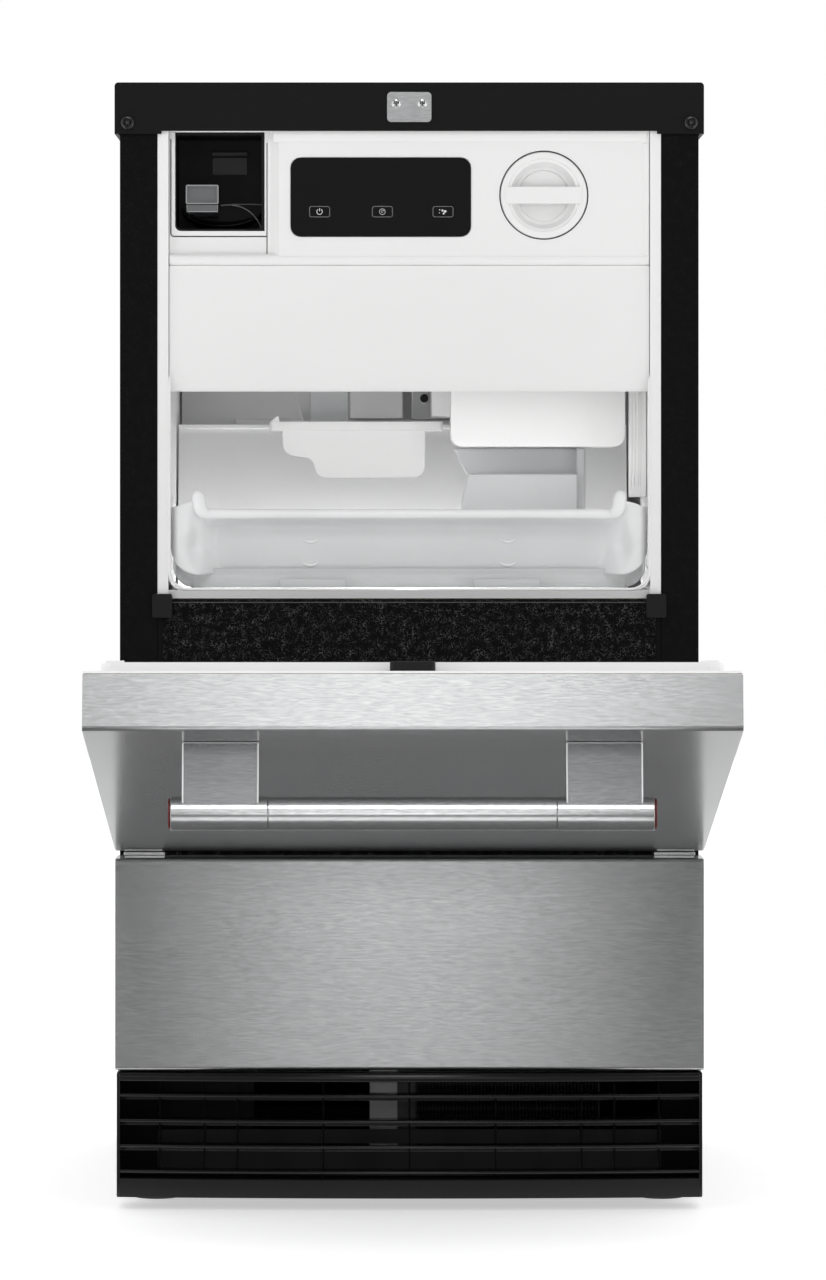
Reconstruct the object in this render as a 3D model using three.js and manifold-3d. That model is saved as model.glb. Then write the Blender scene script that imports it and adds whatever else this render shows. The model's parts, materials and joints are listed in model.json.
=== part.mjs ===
// Undercounter ice maker with a tilt-down door. Millimetres, +Z up, the front faces -Y, the floor is Z = 0.
// Inside the cabinet frame X = 0 is the centre line and Y = 0 is the front flange of the cabinet.
import * as THREE from "three";
import { mergeVertices } from "three/addons/utils/BufferGeometryUtils.js";
import Module from "manifold-3d";

// ---- cabinet ----
const HEIGHT = 859;
const BODY_HALF = 222;
const CAP_HALF = 226;
const BACK_Y = 551;
const SHEET = 1.2;
const GAP = 0.3;
const FLANGE_IN = 193.3; // inner edge of the black front flange
const BASE_Z = 24;
const WRAP_TOP = 855;
const OPEN_TOP = 827.3;
// ---- bin liner ----
const MOUTH = 184.7; // half width of the bin mouth
const MOUTH_R = 11;
const SILL_Z = 469.8;
const LINER_TOP = 824;
const LINER_FLOOR = 290;
const LINER_BACK = 500;
const WALL = 3;
// ---- top cap ----
const CAP_FRONT = -3;
const CAP_END_Z = 819.5;
const CAP_MID_Z = 821.8;
const CAP_R = 2.8;
const CAP_SCREW = { x: 216, z: 828, hole: 2.1 };
// ---- control housing ----
const HOUSE_Z0 = 719.4;
const HOUSE_Z1 = 823.6;
const HOUSE_HALF = 184.3;
const HOUSE_LOW_Y = 8;
const HOUSE_HIGH_Y = 2;
const HOUSE_BACK = 60;
const OVERLAY = { x0: -91, x1: 47.3, z0: 740.9, z1: 801.5, r: 8 };
const BUTTON_X = { button_power: -68.8, button_clean: -20.6, button_max_ice: 25.9 };
const BUTTON_Z = 760;
const BUTTON_W = 16.4;
const BUTTON_H = 9;
const POCKET = { x0: -181, x1: -111.4, z0: 745, z1: 821, back: 85 };
const FILTER = { x: 103.3, z: 772.7, r: 33.2, barrel: 30, length: 250 };
// ---- door, in its closed position ----
const DOOR_HALF = 224;
const DOOR_FRONT = -55;
const DOOR_IN = -14;
const DOOR_Z0 = 272;
const DOOR_Z1 = 856;
const PIVOT_Y = -47;
const PIVOT_Z = 281;
const DOOR_OPEN_DEG = 79;
const SKIN = 1;
const HANDLE_Y = DOOR_FRONT - 48.5;
const HANDLE_Z = PIVOT_Z + 518;
const HANDLE_R = 11.75;
const HANDLE_HALF = 167;
const GRIP_HALF = 98.5;
const POST_IN = 105;
const POST_OUT = 157.5;
const POST_HALF = 10.3;
// ---- lower front ----
const PANEL_HALF = 223.5;
const PANEL_Z0 = 106;
const PANEL_Z1 = 266.5;
const GRILLE_HALF = 222.5;
const GRILLE_Z0 = 9;
const GRILLE_Z1 = 104;
const GRILLE_Y = -50;
const GRILLE_BOW = 12;
const SLAT_Z = [27.5, 46.8, 66.1, 85.4];
const RIB_X = [-190, -131, -65.5, 0, 65.5, 131, 190];
const LEG_X = 195;
const LEG_Y = [42, 505];
// ---- frame: half way between the front of the open door and the back of the cap ----
const SHIFT_Y = 30.7;

const wasm = await Module();
wasm.setup();
const rad = THREE.MathUtils.degToRad;

// ---------- solids ----------

function solid(geometry) {
  const bare = new THREE.BufferGeometry();
  bare.setAttribute("position", geometry.getAttribute("position"));
  if (geometry.index) bare.setIndex(geometry.index);
  const merged = mergeVertices(bare, 1e-4);
  const old = merged.index.array;
  const tris = [];
  for (let i = 0; i < old.length; i += 3) {
    const [a, b, c] = [old[i], old[i + 1], old[i + 2]];
    if (a !== b && b !== c && c !== a) tris.push(a, b, c);
  }
  const make = (list) =>
    new wasm.Manifold(
      new wasm.Mesh({
        numProp: 3,
        vertProperties: merged.attributes.position.array,
        triVerts: new Uint32Array(list),
      }),
    );
  const made = make(tris);
  if (made.volume() > 0) return made;
  for (let i = 0; i < tris.length; i += 3) [tris[i + 1], tris[i + 2]] = [tris[i + 2], tris[i + 1]];
  return make(tris);
}

// The low and high end of a span, mirrored for the left side.
const between = (side, p, q) => [p * side, q * side].sort((m, n) => m - n);

const join = (first, ...rest) => rest.reduce((a, b) => a.add(b), first);
const cut = (first, ...rest) => rest.reduce((a, b) => a.subtract(b), first);

function box(x0, x1, y0, y1, z0, z1) {
  const g = new THREE.BoxGeometry(x1 - x0, y1 - y0, z1 - z0);
  return solid(g.translate((x0 + x1) / 2, (y0 + y1) / 2, (z0 + z1) / 2));
}

// An outline pushed along an axis: "x" takes (y, z) points, "y" takes (x, z), "z" takes (x, y).
function prism(axis, points, lo, hi) {
  const shape = new THREE.Shape(points.map(([u, v]) => new THREE.Vector2(u, v)));
  const g = new THREE.ExtrudeGeometry(shape, { depth: hi - lo, bevelEnabled: false });
  if (axis === "y") g.rotateX(Math.PI / 2).translate(0, hi, 0);
  if (axis === "x") g.applyMatrix4(new THREE.Matrix4().set(0, 0, 1, lo, 1, 0, 0, 0, 0, 1, 0, 0, 0, 0, 0, 1));
  if (axis === "z") g.translate(0, 0, lo);
  return solid(g);
}

// Outline of a rectangle with one radius per corner, from the top right one round to the bottom right one.
function rounded(u0, u1, v0, v1, r, n = 4) {
  const [tr, tl, bl, br] = Array.isArray(r) ? r : [r, r, r, r];
  const corners = [
    [u1, v1, tr, -1, -1, 0],
    [u0, v1, tl, 1, -1, 90],
    [u0, v0, bl, 1, 1, 180],
    [u1, v0, br, -1, 1, 270],
  ];
  const points = [];
  for (const [u, v, q, du, dv, start] of corners) {
    if (!q) {
      points.push([u, v]);
      continue;
    }
    for (let i = 0; i <= n; i++) {
      const a = rad(start + (90 * i) / n);
      points.push([u + du * q + q * Math.cos(a), v + dv * q + q * Math.sin(a)]);
    }
  }
  return points;
}

function circle(cu, cv, r, n = 24) {
  return Array.from({ length: n }, (_, i) => {
    const a = (2 * Math.PI * i) / n;
    return [cu + r * Math.cos(a), cv + r * Math.sin(a)];
  });
}

const rod = (axis, cu, cv, lo, hi, r, n = 24) => prism(axis, circle(cu, cv, r, n), lo, hi);

// A (radius, height) profile turned about a line that runs along +Z, or along -Y with front = true.
function turned(profile, x, y, z, n = 24, front = false) {
  const g = new THREE.LatheGeometry(profile.map(([r, h]) => new THREE.Vector2(r, h)), n);
  g.rotateX(front ? Math.PI : Math.PI / 2);
  return solid(g.translate(x, y, z));
}

function mesh(name, made, color, roughness = 0.5, metalness = 0) {
  const m = made.getMesh();
  const at = new Float32Array(m.numVert * 3);
  for (let i = 0; i < m.numVert; i++) {
    at.set(m.vertProperties.subarray(i * m.numProp, i * m.numProp + 3), i * 3);
  }
  const g = new THREE.BufferGeometry();
  g.setAttribute("position", new THREE.BufferAttribute(at, 3));
  g.setIndex(new THREE.BufferAttribute(m.triVerts, 1));
  const flat = g.toNonIndexed();
  flat.computeVertexNormals();
  const out = new THREE.Mesh(flat, new THREE.MeshStandardMaterial({ color, roughness, metalness }));
  out.name = name;
  return out;
}

const WHITE = 0xf0f1f2;
const BLACK = 0x18191b;
const STEEL = 0xb4b6b8;
const GREY = 0x9a9ea2;

// ---------- cabinet ----------

// Pan-head screw pointing along +Y, its seat at y, with a cross recess.
function screw(x, y, z, head, height, shank, length) {
  const profile = [
    [0, -length],
    [shank, -length],
    [shank, 0],
    [head, 0],
    [head, height * 0.45],
    [head * 0.8, height * 0.85],
    [head * 0.45, height],
    [0, height],
  ];
  const arm = head * 0.55;
  const slot = head * 0.14;
  return cut(
    turned(profile, x, y, z, 16, true),
    box(x - arm, x + arm, y - height - 1, y - height * 0.45, z - slot, z + slot),
    box(x - slot, x + slot, y - height - 1, y - height * 0.45, z - arm, z + arm),
  );
}

const capScrewHole = (side) => rod("y", side * CAP_SCREW.x, CAP_SCREW.z, -5, 3, CAP_SCREW.hole, 12);

function cabinetWrapper() {
  let s = box(-BODY_HALF, BODY_HALF, 0, 550, BASE_Z, WRAP_TOP);
  const inner = BODY_HALF - SHEET;
  s = cut(
    s,
    box(-inner, inner, SHEET, 560, BASE_Z - 5, WRAP_TOP - SHEET),
    box(-FLANGE_IN, FLANGE_IN, -1, SHEET + 1, BASE_Z - 5, OPEN_TOP),
  );
  for (const side of [-1, 1]) s = cut(s, capScrewHole(side));
  return s;
}

function topCap() {
  const outline = rounded(-CAP_HALF, CAP_HALF, CAP_END_Z, HEIGHT, [CAP_R, CAP_R, 0, 0]);
  let s = prism("y", outline, CAP_FRONT, BACK_Y);
  s = cut(
    s,
    box(-223, 223, -0.8, BACK_Y + 5, CAP_END_Z - 5, HEIGHT - 3),
    box(-190, 190, CAP_FRONT - 1, 1, CAP_END_Z - 5, CAP_MID_Z),
  );
  for (const side of [-1, 1]) s = cut(s, capScrewHole(side));
  return s;
}

const strikePlate = () => prism("y", rounded(-17, 17, 828.5, 851.5, 3), CAP_FRONT - 1.8, CAP_FRONT - GAP);

function backPanel() {
  let s = box(-220.5, 220.5, 548.6, 549.8, 30, 853.4);
  for (let row = 0; row < 9; row++) {
    const z = 70 + row * 16;
    s = cut(s, box(-150, -12, 548, 551, z, z + 6), box(12, 150, 548, 551, z, z + 6));
  }
  return s;
}

function basePan() {
  let s = cut(
    box(-220.4, 220.4, 1.6, 548.2, BASE_Z + 0.5, 56),
    box(-218.9, 218.9, 3.1, 546.7, BASE_Z + 2, 60),
  );
  for (const y of LEG_Y) {
    for (const side of [-1, 1]) {
      s = join(s, rod("z", side * LEG_X, y, BASE_Z + 0.5, 50, 9, 16));
      s = cut(s, rod("z", side * LEG_X, y, BASE_Z - 2, 55, 5.3, 16));
    }
  }
  return s;
}

function levelingLeg(x, y) {
  const profile = [
    [0, 0], [17, 0], [17.5, 1.5], [17, 4], [13, 7], [8, 8.5], [8, 15],
    [4.6, 16], [4.6, 66], [3.6, 67.5], [0, 67.5],
  ];
  return turned(profile, x, y, 0, 16);
}

function binLiner() {
  const out = MOUTH + WALL;
  let s = join(
    box(-out, out, 0, LINER_BACK + WALL, 463.3, LINER_TOP + WALL),
    box(-out, out, 27, LINER_BACK + WALL, LINER_FLOOR - WALL, 468),
    box(-FLANGE_IN + GAP, FLANGE_IN - GAP, 0, 3, 463.3, LINER_TOP + WALL),
  );
  const mouth = rounded(-MOUTH, MOUTH, SILL_Z, LINER_TOP, [0, 0, MOUTH_R, MOUTH_R], 5);
  const well = rounded(-MOUTH, MOUTH, LINER_FLOOR, LINER_TOP, [0, 0, MOUTH_R, MOUTH_R], 5);
  s = cut(s, prism("y", mouth, -1, 31), prism("y", well, 30, LINER_BACK));
  return s;
}

function cabinetFoam() {
  const hole = MOUTH + WALL + 0.4;
  return cut(
    box(-220.4, 220.4, 3.4, 548.2, 262, 853.4),
    box(-hole, hole, 0, LINER_BACK + WALL + 0.4, 462.8, LINER_TOP + WALL + 0.4),
    box(-hole, hole, 26.6, LINER_BACK + WALL + 0.4, LINER_FLOOR - WALL - 0.4, 470),
    box(-FLANGE_IN, FLANGE_IN, 0, 3.6, 262, 462.9),
  );
}

function chinPanel() {
  return join(
    box(-200, 200, 1.6, 3.1, 262.4, 462.6),
    box(-188.8, 188.8, 0.2, 3.1, 262.4, 462.6),
  );
}

function cornerBlock(side) {
  const [a, b] = between(side, 181.8, 197);
  return prism("y", rounded(a, b, 448.5, 466.8, 1.5, 2), -4, -GAP);
}

// ---------- lower front ----------

function lowerPanel() {
  const outer = rounded(DOOR_FRONT, -0.5, PANEL_Z0, PANEL_Z1, [0, 2.5, 2.5, 0]);
  return cut(
    prism("x", outer, -PANEL_HALF, PANEL_HALF),
    box(-PANEL_HALF + SKIN, PANEL_HALF - SKIN, DOOR_FRONT + SKIN, 5, PANEL_Z0 + SKIN, PANEL_Z1 - SKIN),
  );
}

const bow = (x) => -GRILLE_BOW * (1 - (x / GRILLE_HALF) ** 2);

function bowed(y0, y1, z0, z1, half = GRILLE_HALF, n = 16) {
  const xs = Array.from({ length: n + 1 }, (_, i) => -half + (2 * half * i) / n);
  const front = xs.map((x) => [x, y0 + bow(x)]);
  const back = xs.map((x) => [x, y1 + bow(x)]).reverse();
  return prism("z", [...front, ...back], z0, z1);
}

function toeGrille() {
  const y = GRILLE_Y;
  let s = join(
    bowed(y, y + 3, 96.5, GRILLE_Z1),
    bowed(y, y + 26, GRILLE_Z1 - 2, GRILLE_Z1),
    bowed(y, y + 3, GRILLE_Z0, 23.4),
    bowed(y, y + 26, GRILLE_Z0, GRILLE_Z0 + 2.5),
  );
  for (const z of SLAT_Z) s = join(s, bowed(y, y + 20, z, z + 2.3));
  for (const x of RIB_X) {
    s = join(s, box(x - 1.2, x + 1.2, y + bow(x) + 8, y + bow(x) + 22, GRILLE_Z0 + 1, GRILLE_Z1 - 1));
  }
  for (const side of [-1, 1]) {
    const [a, b] = between(side, GRILLE_HALF - 2.4, GRILLE_HALF);
    s = join(s, box(a, b, y - 0.2, -0.6, GRILLE_Z0, GRILLE_Z1));
  }
  return s;
}

// ---------- hinges ----------

function lug(side) {
  const d = [0.894, -0.447];
  const n = [0.447, 0.894];
  const at = (along, across) => [
    PIVOT_Y + d[0] * along + n[0] * across,
    PIVOT_Z + d[1] * along + n[1] * across,
  ];
  const [a, b] = between(side, 207, 211);
  const neck = prism("x", [at(0, -4), at(32, -4), at(32, 4), at(0, 4)], a, b);
  return join(neck, rod("x", PIVOT_Y, PIVOT_Z, a, b, 6.5, 20));
}

function hingeBracket(side) {
  const [a, b] = between(side, 186, 216);
  const [c, d] = between(side, 194.5, 216);
  const plate = join(
    box(a, b, -52, -GAP, 266.9, 268.8),
    box(c, d, -2.8, -GAP, 266.9, 283),
    lug(side),
  );
  return cut(
    plate,
    box(-230, 230, -60, 10, 240, 266.9),
    rod("x", PIVOT_Y, PIVOT_Z, a - 5, b + 5, 3.35, 16),
  );
}

function hingePin(side) {
  const [a, b] = between(side, 193, 214);
  return rod("x", PIVOT_Y, PIVOT_Z, a, b, 3, 16);
}

function hingePocket(side) {
  const [a, b] = between(side, 190.4, 215);
  return box(a, b, PIVOT_Y - 7, PIVOT_Y + 31, PIVOT_Z - 14, PIVOT_Z + 17);
}

function hingeLeaf(side) {
  const [a, b] = between(side, 191, 206);
  return cut(
    box(a, b, PIVOT_Y - 6.6, PIVOT_Y + 24, PIVOT_Z - 8.6, PIVOT_Z + 16.4),
    rod("x", PIVOT_Y, PIVOT_Z, -230, 230, 3.5, 16),
  );
}

// ---------- door ----------

function doorSkin() {
  const outer = rounded(DOOR_FRONT, -16.2, DOOR_Z0, DOOR_Z1, [0, 3, 3, 0]);
  let s = cut(
    prism("x", outer, -DOOR_HALF, DOOR_HALF),
    box(-DOOR_HALF + SKIN, DOOR_HALF - SKIN, DOOR_FRONT + SKIN, 0, DOOR_Z0 + SKIN, DOOR_Z1 - SKIN),
  );
  for (const side of [-1, 1]) s = cut(s, hingePocket(side));
  return s;
}

function doorFoam() {
  const half = DOOR_HALF - SKIN - GAP;
  const inset = SKIN + GAP;
  const shape = rounded(DOOR_FRONT + inset, -16.3, DOOR_Z0 + inset, DOOR_Z1 - inset, [0, 2.5, 2.5, 0]);
  let s = prism("x", shape, -half, half);
  for (const side of [-1, 1]) s = cut(s, hingePocket(side));
  return s;
}

function doorLiner() {
  const plate = box(-223.6, 223.6, -15.9, DOOR_IN, DOOR_Z0 + 0.4, DOOR_Z1 - 0.4);
  const dike = prism("y", rounded(-172, 172, 486, 806, 14, 5), DOOR_IN - 1, -5.2);
  const dish = prism("y", rounded(-160, 160, 498, 794, 10, 5), -11, -4);
  return cut(join(plate, dike), dish);
}

function doorGasket() {
  const ring = (o, i, z0, z1, w, y0, y1) =>
    cut(
      prism("y", rounded(-o, o, z0, z1, 10, 4), y0, y1),
      prism("y", rounded(-i, i, z0 + w, z1 - w, 5, 4), y0 - 1, y1 + 1),
    );
  const foot = ring(213, 199, 286, 828, 14, DOOR_IN + GAP, -3.4);
  const lip = cut(ring(210, 202, 289, 825, 8, -4, -0.4), box(-230, 230, -10, 5, 817, 840));
  return join(foot, lip);
}

function doorLatch() {
  return prism("y", rounded(-15.5, 15.5, 829.2, 851, 2.5, 2), DOOR_IN + GAP, -6.5);
}

function handleEnd(side) {
  const [a, b] = between(side, GRIP_HALF + GAP, HANDLE_HALF - 1.8);
  const [c, d] = between(side, POST_IN, POST_OUT);
  const post = box(c, d, HANDLE_Y, DOOR_FRONT - GAP, HANDLE_Z - POST_HALF, HANDLE_Z + POST_HALF);
  return join(rod("x", HANDLE_Y, HANDLE_Z, a, b, HANDLE_R, 32), post);
}

function handleGrip() {
  return rod("x", HANDLE_Y, HANDLE_Z, -GRIP_HALF, GRIP_HALF, HANDLE_R - 0.2, 32);
}

function handleCap(side) {
  const [a, b] = between(side, HANDLE_HALF - 1.5, HANDLE_HALF);
  return rod("x", HANDLE_Y, HANDLE_Z, a, b, HANDLE_R - 1.2, 32);
}

// ---------- controls ----------

function housingShape(inset) {
  const h = HOUSE_HALF - inset;
  return [
    [-h, HOUSE_LOW_Y + inset],
    [-108.3 + inset * 0.5, HOUSE_LOW_Y + inset],
    [-100 + inset * 0.5, HOUSE_HIGH_Y + inset],
    [h, HOUSE_HIGH_Y + inset],
    [h, HOUSE_BACK + (inset ? 5 : 0)],
    [-h, HOUSE_BACK + (inset ? 5 : 0)],
  ];
}

function controlHousing() {
  let s = prism("z", housingShape(0), HOUSE_Z0 + 3, HOUSE_Z1);
  s = join(s, rod("x", 6.2, HOUSE_Z0 + 3.8, -HOUSE_HALF, HOUSE_HALF, 3.8, 16));
  s = cut(s, prism("z", housingShape(3), HOUSE_Z0 + 8, HOUSE_Z1 - 2));
  const o = OVERLAY;
  s = cut(
    s,
    prism("y", rounded(o.x0 - GAP, o.x1 + GAP, o.z0 - GAP, o.z1 + GAP, o.r), 0, 3.1),
    rod("y", FILTER.x, FILTER.z, -5, 20, FILTER.r + 1, 40),
    box(POCKET.x0 - GAP, POCKET.x1 + GAP, 0, 20, POCKET.z0 - GAP, POCKET.z1 + GAP),
  );
  for (const x of Object.values(BUTTON_X)) s = cut(s, buttonHole(x, 0, 10));
  return s;
}

const buttonShape = (x, grow, r) =>
  rounded(
    x - BUTTON_W / 2 - grow, x + BUTTON_W / 2 + grow, BUTTON_Z - BUTTON_H / 2 - grow,
    BUTTON_Z + BUTTON_H / 2 + grow, r, 3,
  );
const buttonHole = (x, y0, y1) => prism("y", buttonShape(x, 0.3, 2.2), y0, y1);

function controlOverlay() {
  const o = OVERLAY;
  let s = prism("y", rounded(o.x0, o.x1, o.z0, o.z1, o.r, 5), 1.2, 2.7);
  for (const x of Object.values(BUTTON_X)) s = cut(s, buttonHole(x, 0, 5));
  return s;
}

const button = (x) => prism("y", buttonShape(x, 0, 2), 0.8, 8);

function scoopHolder() {
  const p = POCKET;
  return cut(
    box(p.x0, p.x1, 8.3, p.back, p.z0, p.z1),
    prism("y", rounded(p.x0 + 2, p.x1 - 2, p.z0 + 2, p.z1 - 2, [1, 1, 4, 4]), 7, p.back - 2),
  );
}

function iceScoop() {
  const bowl = cut(
    prism("y", rounded(-176.5, -116, 748, 766, [0, 0, 9, 9], 5), 22, 80),
    prism("y", rounded(-174.7, -117.8, 749.8, 770, [0, 0, 7.5, 7.5], 5), 25, 82),
  );
  const stem = prism("x", [[12, 763], [58, 756], [58, 765.9], [24, 781], [12, 781]], -171.8, -146.4);
  return join(bowl, cut(stem, box(-168, -150.2, 15, 50, 767, 790)), box(-171.8, -146.4, 22, 25, 755, 768));
}

function filterCap() {
  const profile = [
    [0, -11.5], [31.5, -11.5], [31.5, -6], [FILTER.r, -5], [FILTER.r, -1.2], [32.2, -0.2],
    [30.2, -0.2], [20, -5.4], [19, -6.4], [0, -6.4],
  ];
  const dish = turned(profile, FILTER.x, 0.6, FILTER.z, 40, true);
  const { x, z } = FILTER;
  const bar = prism("y", rounded(x - 30.6, x + 30.6, z - 6.5, z + 6.5, 2), -0.6, 8);
  return join(dish, bar);
}

function filterCartridge() {
  const { x, z, barrel: r, length } = FILTER;
  const profile = [
    [0, -length], [8, -length], [8, 18 - length], [r - 8, 24 - length],
    [r, 34 - length], [r, -14], [r - 3, -12.6], [0, -12.6],
  ];
  return turned(profile, x, 0.6, z, 28, true);
}

// ---------- ice making ----------

function evaporatorCover() {
  const z0 = 621.9;
  const z1 = 719;
  const n = 8;
  const curve = (off) =>
    Array.from({ length: n + 1 }, (_, i) => {
      const t = i / n;
      return [7 - 7.5 * Math.sin(Math.PI * t) ** 0.8 + off, z0 + (z1 - z0) * t];
    });
  const face = prism("x", [...curve(0), ...curve(2.6).reverse()], -HOUSE_HALF, HOUSE_HALF);
  const side = (a) => prism("x", [...curve(1), [40, z1], [40, z0]], a, a + 2.4);
  return join(face, side(-HOUSE_HALF), side(HOUSE_HALF - 2.4));
}

function binBaffle() {
  const z0 = SILL_Z + 1.2;
  const body = (off) => [
    [14 + off, z0], [17 + off, 480], [21 + off, 495], [22 + off, 510], [19 + off, 522], [13 + off, 531],
  ];
  const face = prism("x", [...body(0), ...body(2.6).reverse()], -171, 169);
  const foot = prism("x", [[4, z0], [18, z0], [20, 474], [4, 473.4]], -168, 166);
  const rim = prism("x", rounded(8, 16, 528.6, 532.6, 1.8, 3), -160, 158);
  const swell = [[4, z0 + 3], [10, z0], [30, z0], [26, 515], [19, 549], [12, 549], [5, 530]];
  const ear = (a, b) => prism("x", swell, a, b);
  return join(face, foot, rim, ear(-176, -158), ear(158, 176));
}

const iceDeflector = () =>
  join(
    prism("x", [[162, 400], [165, 400], [213, 599], [210, 599]], -183, 174),
    prism("x", [[206, 596], [222, 596], [222, 599], [206, 599]], -183, 174),
  );

function waterPan() {
  const outer = [
    [-107, 600], [-100, 580], [-95, 573], [-72, 573], [-66, 560], [-62, 558], [8, 558],
    [14, 561], [17, 586], [31.5, 590], [31.5, 597], [-104, 597],
  ];
  const inner = [
    [-101.5, 605], [-97, 582], [-93, 575.5], [-70.5, 575.5], [-64.5, 562], [-60, 560.5],
    [6, 560.5], [11.5, 563], [14.7, 588.5], [14.7, 605],
  ];
  return cut(prism("y", outer, 96, 150), prism("y", inner, 98.5, 147.5));
}

function pumpHousing() {
  const face = rounded(32.4, 168, 580, 640, [0, 0, 9, 9]);
  return join(prism("y", face, 62, 150), box(18, 34, 104, 150, 604, 640));
}

function sumpBody() {
  const shape = [
    [46, 579.6], [42, 572], [58, 540], [58, 520],
    [62, 515], [134, 515], [138, 520], [138, 579.6],
  ];
  return prism("y", shape, 92, 150);
}

const panBracket = () => box(-77, -48, 152.4, 155, 598, 631);
const binSensor = () =>
  join(box(3, 17.4, 152.4, 154.6, 603, 640), rod("y", 12, 618, 148.5, 153, 3.4, 12));
const wallRail = () => join(box(170.6, 181, 64, 70, 541, 700), box(181 - 2, 184.3, 64, 96, 541, 700));

function evaporatorPlate() {
  const plate = prism("x", [[70, 700], [330, 668], [330, 673], [70, 705]], -150, 150);
  let s = plate;
  for (let i = 0; i < 6; i++) {
    const y = 95 + i * 42;
    const z = 706.5 - (y - 70) * 0.123;
    s = join(s, rod("x", y, z, -146, 146, 4, 8));
  }
  return s;
}

const GRID = { x: 150, y0: 180, y1: 400, z0: 632, z1: 658, rows: 6, columns: 9 };

function cutterGrid() {
  const { x, y0, y1, z0, z1, rows, columns } = GRID;
  let s = cut(box(-x, x, y0, y1, z0, z1), box(5 - x, x - 5, y0 + 5, y1 - 5, z0 - 5, z1 + 5));
  for (let i = 1; i < columns; i++) {
    const at = -x + (2 * x * i) / columns;
    s = join(s, box(at - 0.8, at + 0.8, y0 + 2, y1 - 2, z0 + 12, z0 + 16));
  }
  for (let i = 1; i < rows; i++) {
    const at = y0 + ((y1 - y0) * i) / rows;
    s = join(s, box(3 - x, x - 3, at - 0.8, at + 0.8, z0 + 9, z0 + 13));
  }
  return s;
}

// ---------- machine bay ----------

function compressor() {
  const profile = [
    [0, 0], [60, 0], [72, 12], [76, 40], [76, 92], [79, 94], [79, 99], [76, 101],
    [72, 130], [56, 152], [30, 164], [0, 167],
  ];
  const shell = turned(profile, -112, 330, 46, 32);
  const foot = prism("z", rounded(-202, -22, 265, 395, 14), 40, 50);
  return join(shell, foot, rod("z", -60, 285, 60, 190, 4, 10), box(-64, -56, 281, 300, 150, 158));
}

const COIL = { x0: 5, x1: 148 };

function condenser() {
  const fins = 17;
  const pitch = (COIL.x1 - COIL.x0) / (fins + 1);
  let s = join(
    box(COIL.x0, COIL.x0 + 2.4, 62, 98, 34, 214),
    box(COIL.x1 - 2.4, COIL.x1, 62, 98, 34, 214),
  );
  for (let i = 1; i <= fins; i++) {
    const x = COIL.x0 + i * pitch;
    s = join(s, box(x - 0.5, x + 0.5, 64, 96, 36, 212));
  }
  for (const z of [60, 100, 140, 180]) s = join(s, box(COIL.x0 + 1, COIL.x1 - 1, 77, 83, z, z + 6));
  return s;
}

const FAN = { x: 76.5, z: 124, y: 118 };

function fanShroud() {
  let s = cut(
    join(box(4.4, 148, 100, 128, 34, 214), box(2, 4.6, 57, 128, 34, 214), box(-9, 4.6, 57, 59.5, 34, 214)),
    box(8, 145, 99, 125, 37, 211),
    rod("y", FAN.x, FAN.z, 90, 140, 62, 36),
  );
  for (const side of [-1, 1]) {
    const x = FAN.x + side * 64;
    s = join(s, box(x - 4, x + 4, 126, 172, FAN.z - 4, FAN.z + 4));
  }
  s = join(s, box(FAN.x - 68, FAN.x + 68, 168, 172, FAN.z - 4, FAN.z + 4));
  return cut(s, rod("y", FAN.x, FAN.z, 160, 180, 10, 16));
}

function fanMotor() {
  return join(
    rod("y", FAN.x, FAN.z, 172.4, 214, 26, 24),
    rod("y", FAN.x, FAN.z, 166, 174, 9, 16),
    rod("y", FAN.x, FAN.z, 122, 170, 3, 12),
  );
}

function fanBlade() {
  let s = rod("y", FAN.x, FAN.z, 132, 156, 15, 20);
  for (let i = 0; i < 5; i++) {
    const g = new THREE.BoxGeometry(46, 2, 34);
    g.rotateX(rad(32)).translate(33, 0, 0).rotateY(rad(72 * i));
    s = join(s, solid(g.translate(FAN.x, 144, FAN.z)));
  }
  return cut(s, rod("y", FAN.x, FAN.z, 120, 170, 3.6, 12));
}

const wiringBox = () => cut(box(-205, -120, 66, 170, 30, 150), box(-202, -123, 69, 167, 33, 155));

// ---------- assembly ----------

function put(group, list) {
  for (const item of list) group.add(mesh(...item));
}

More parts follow.
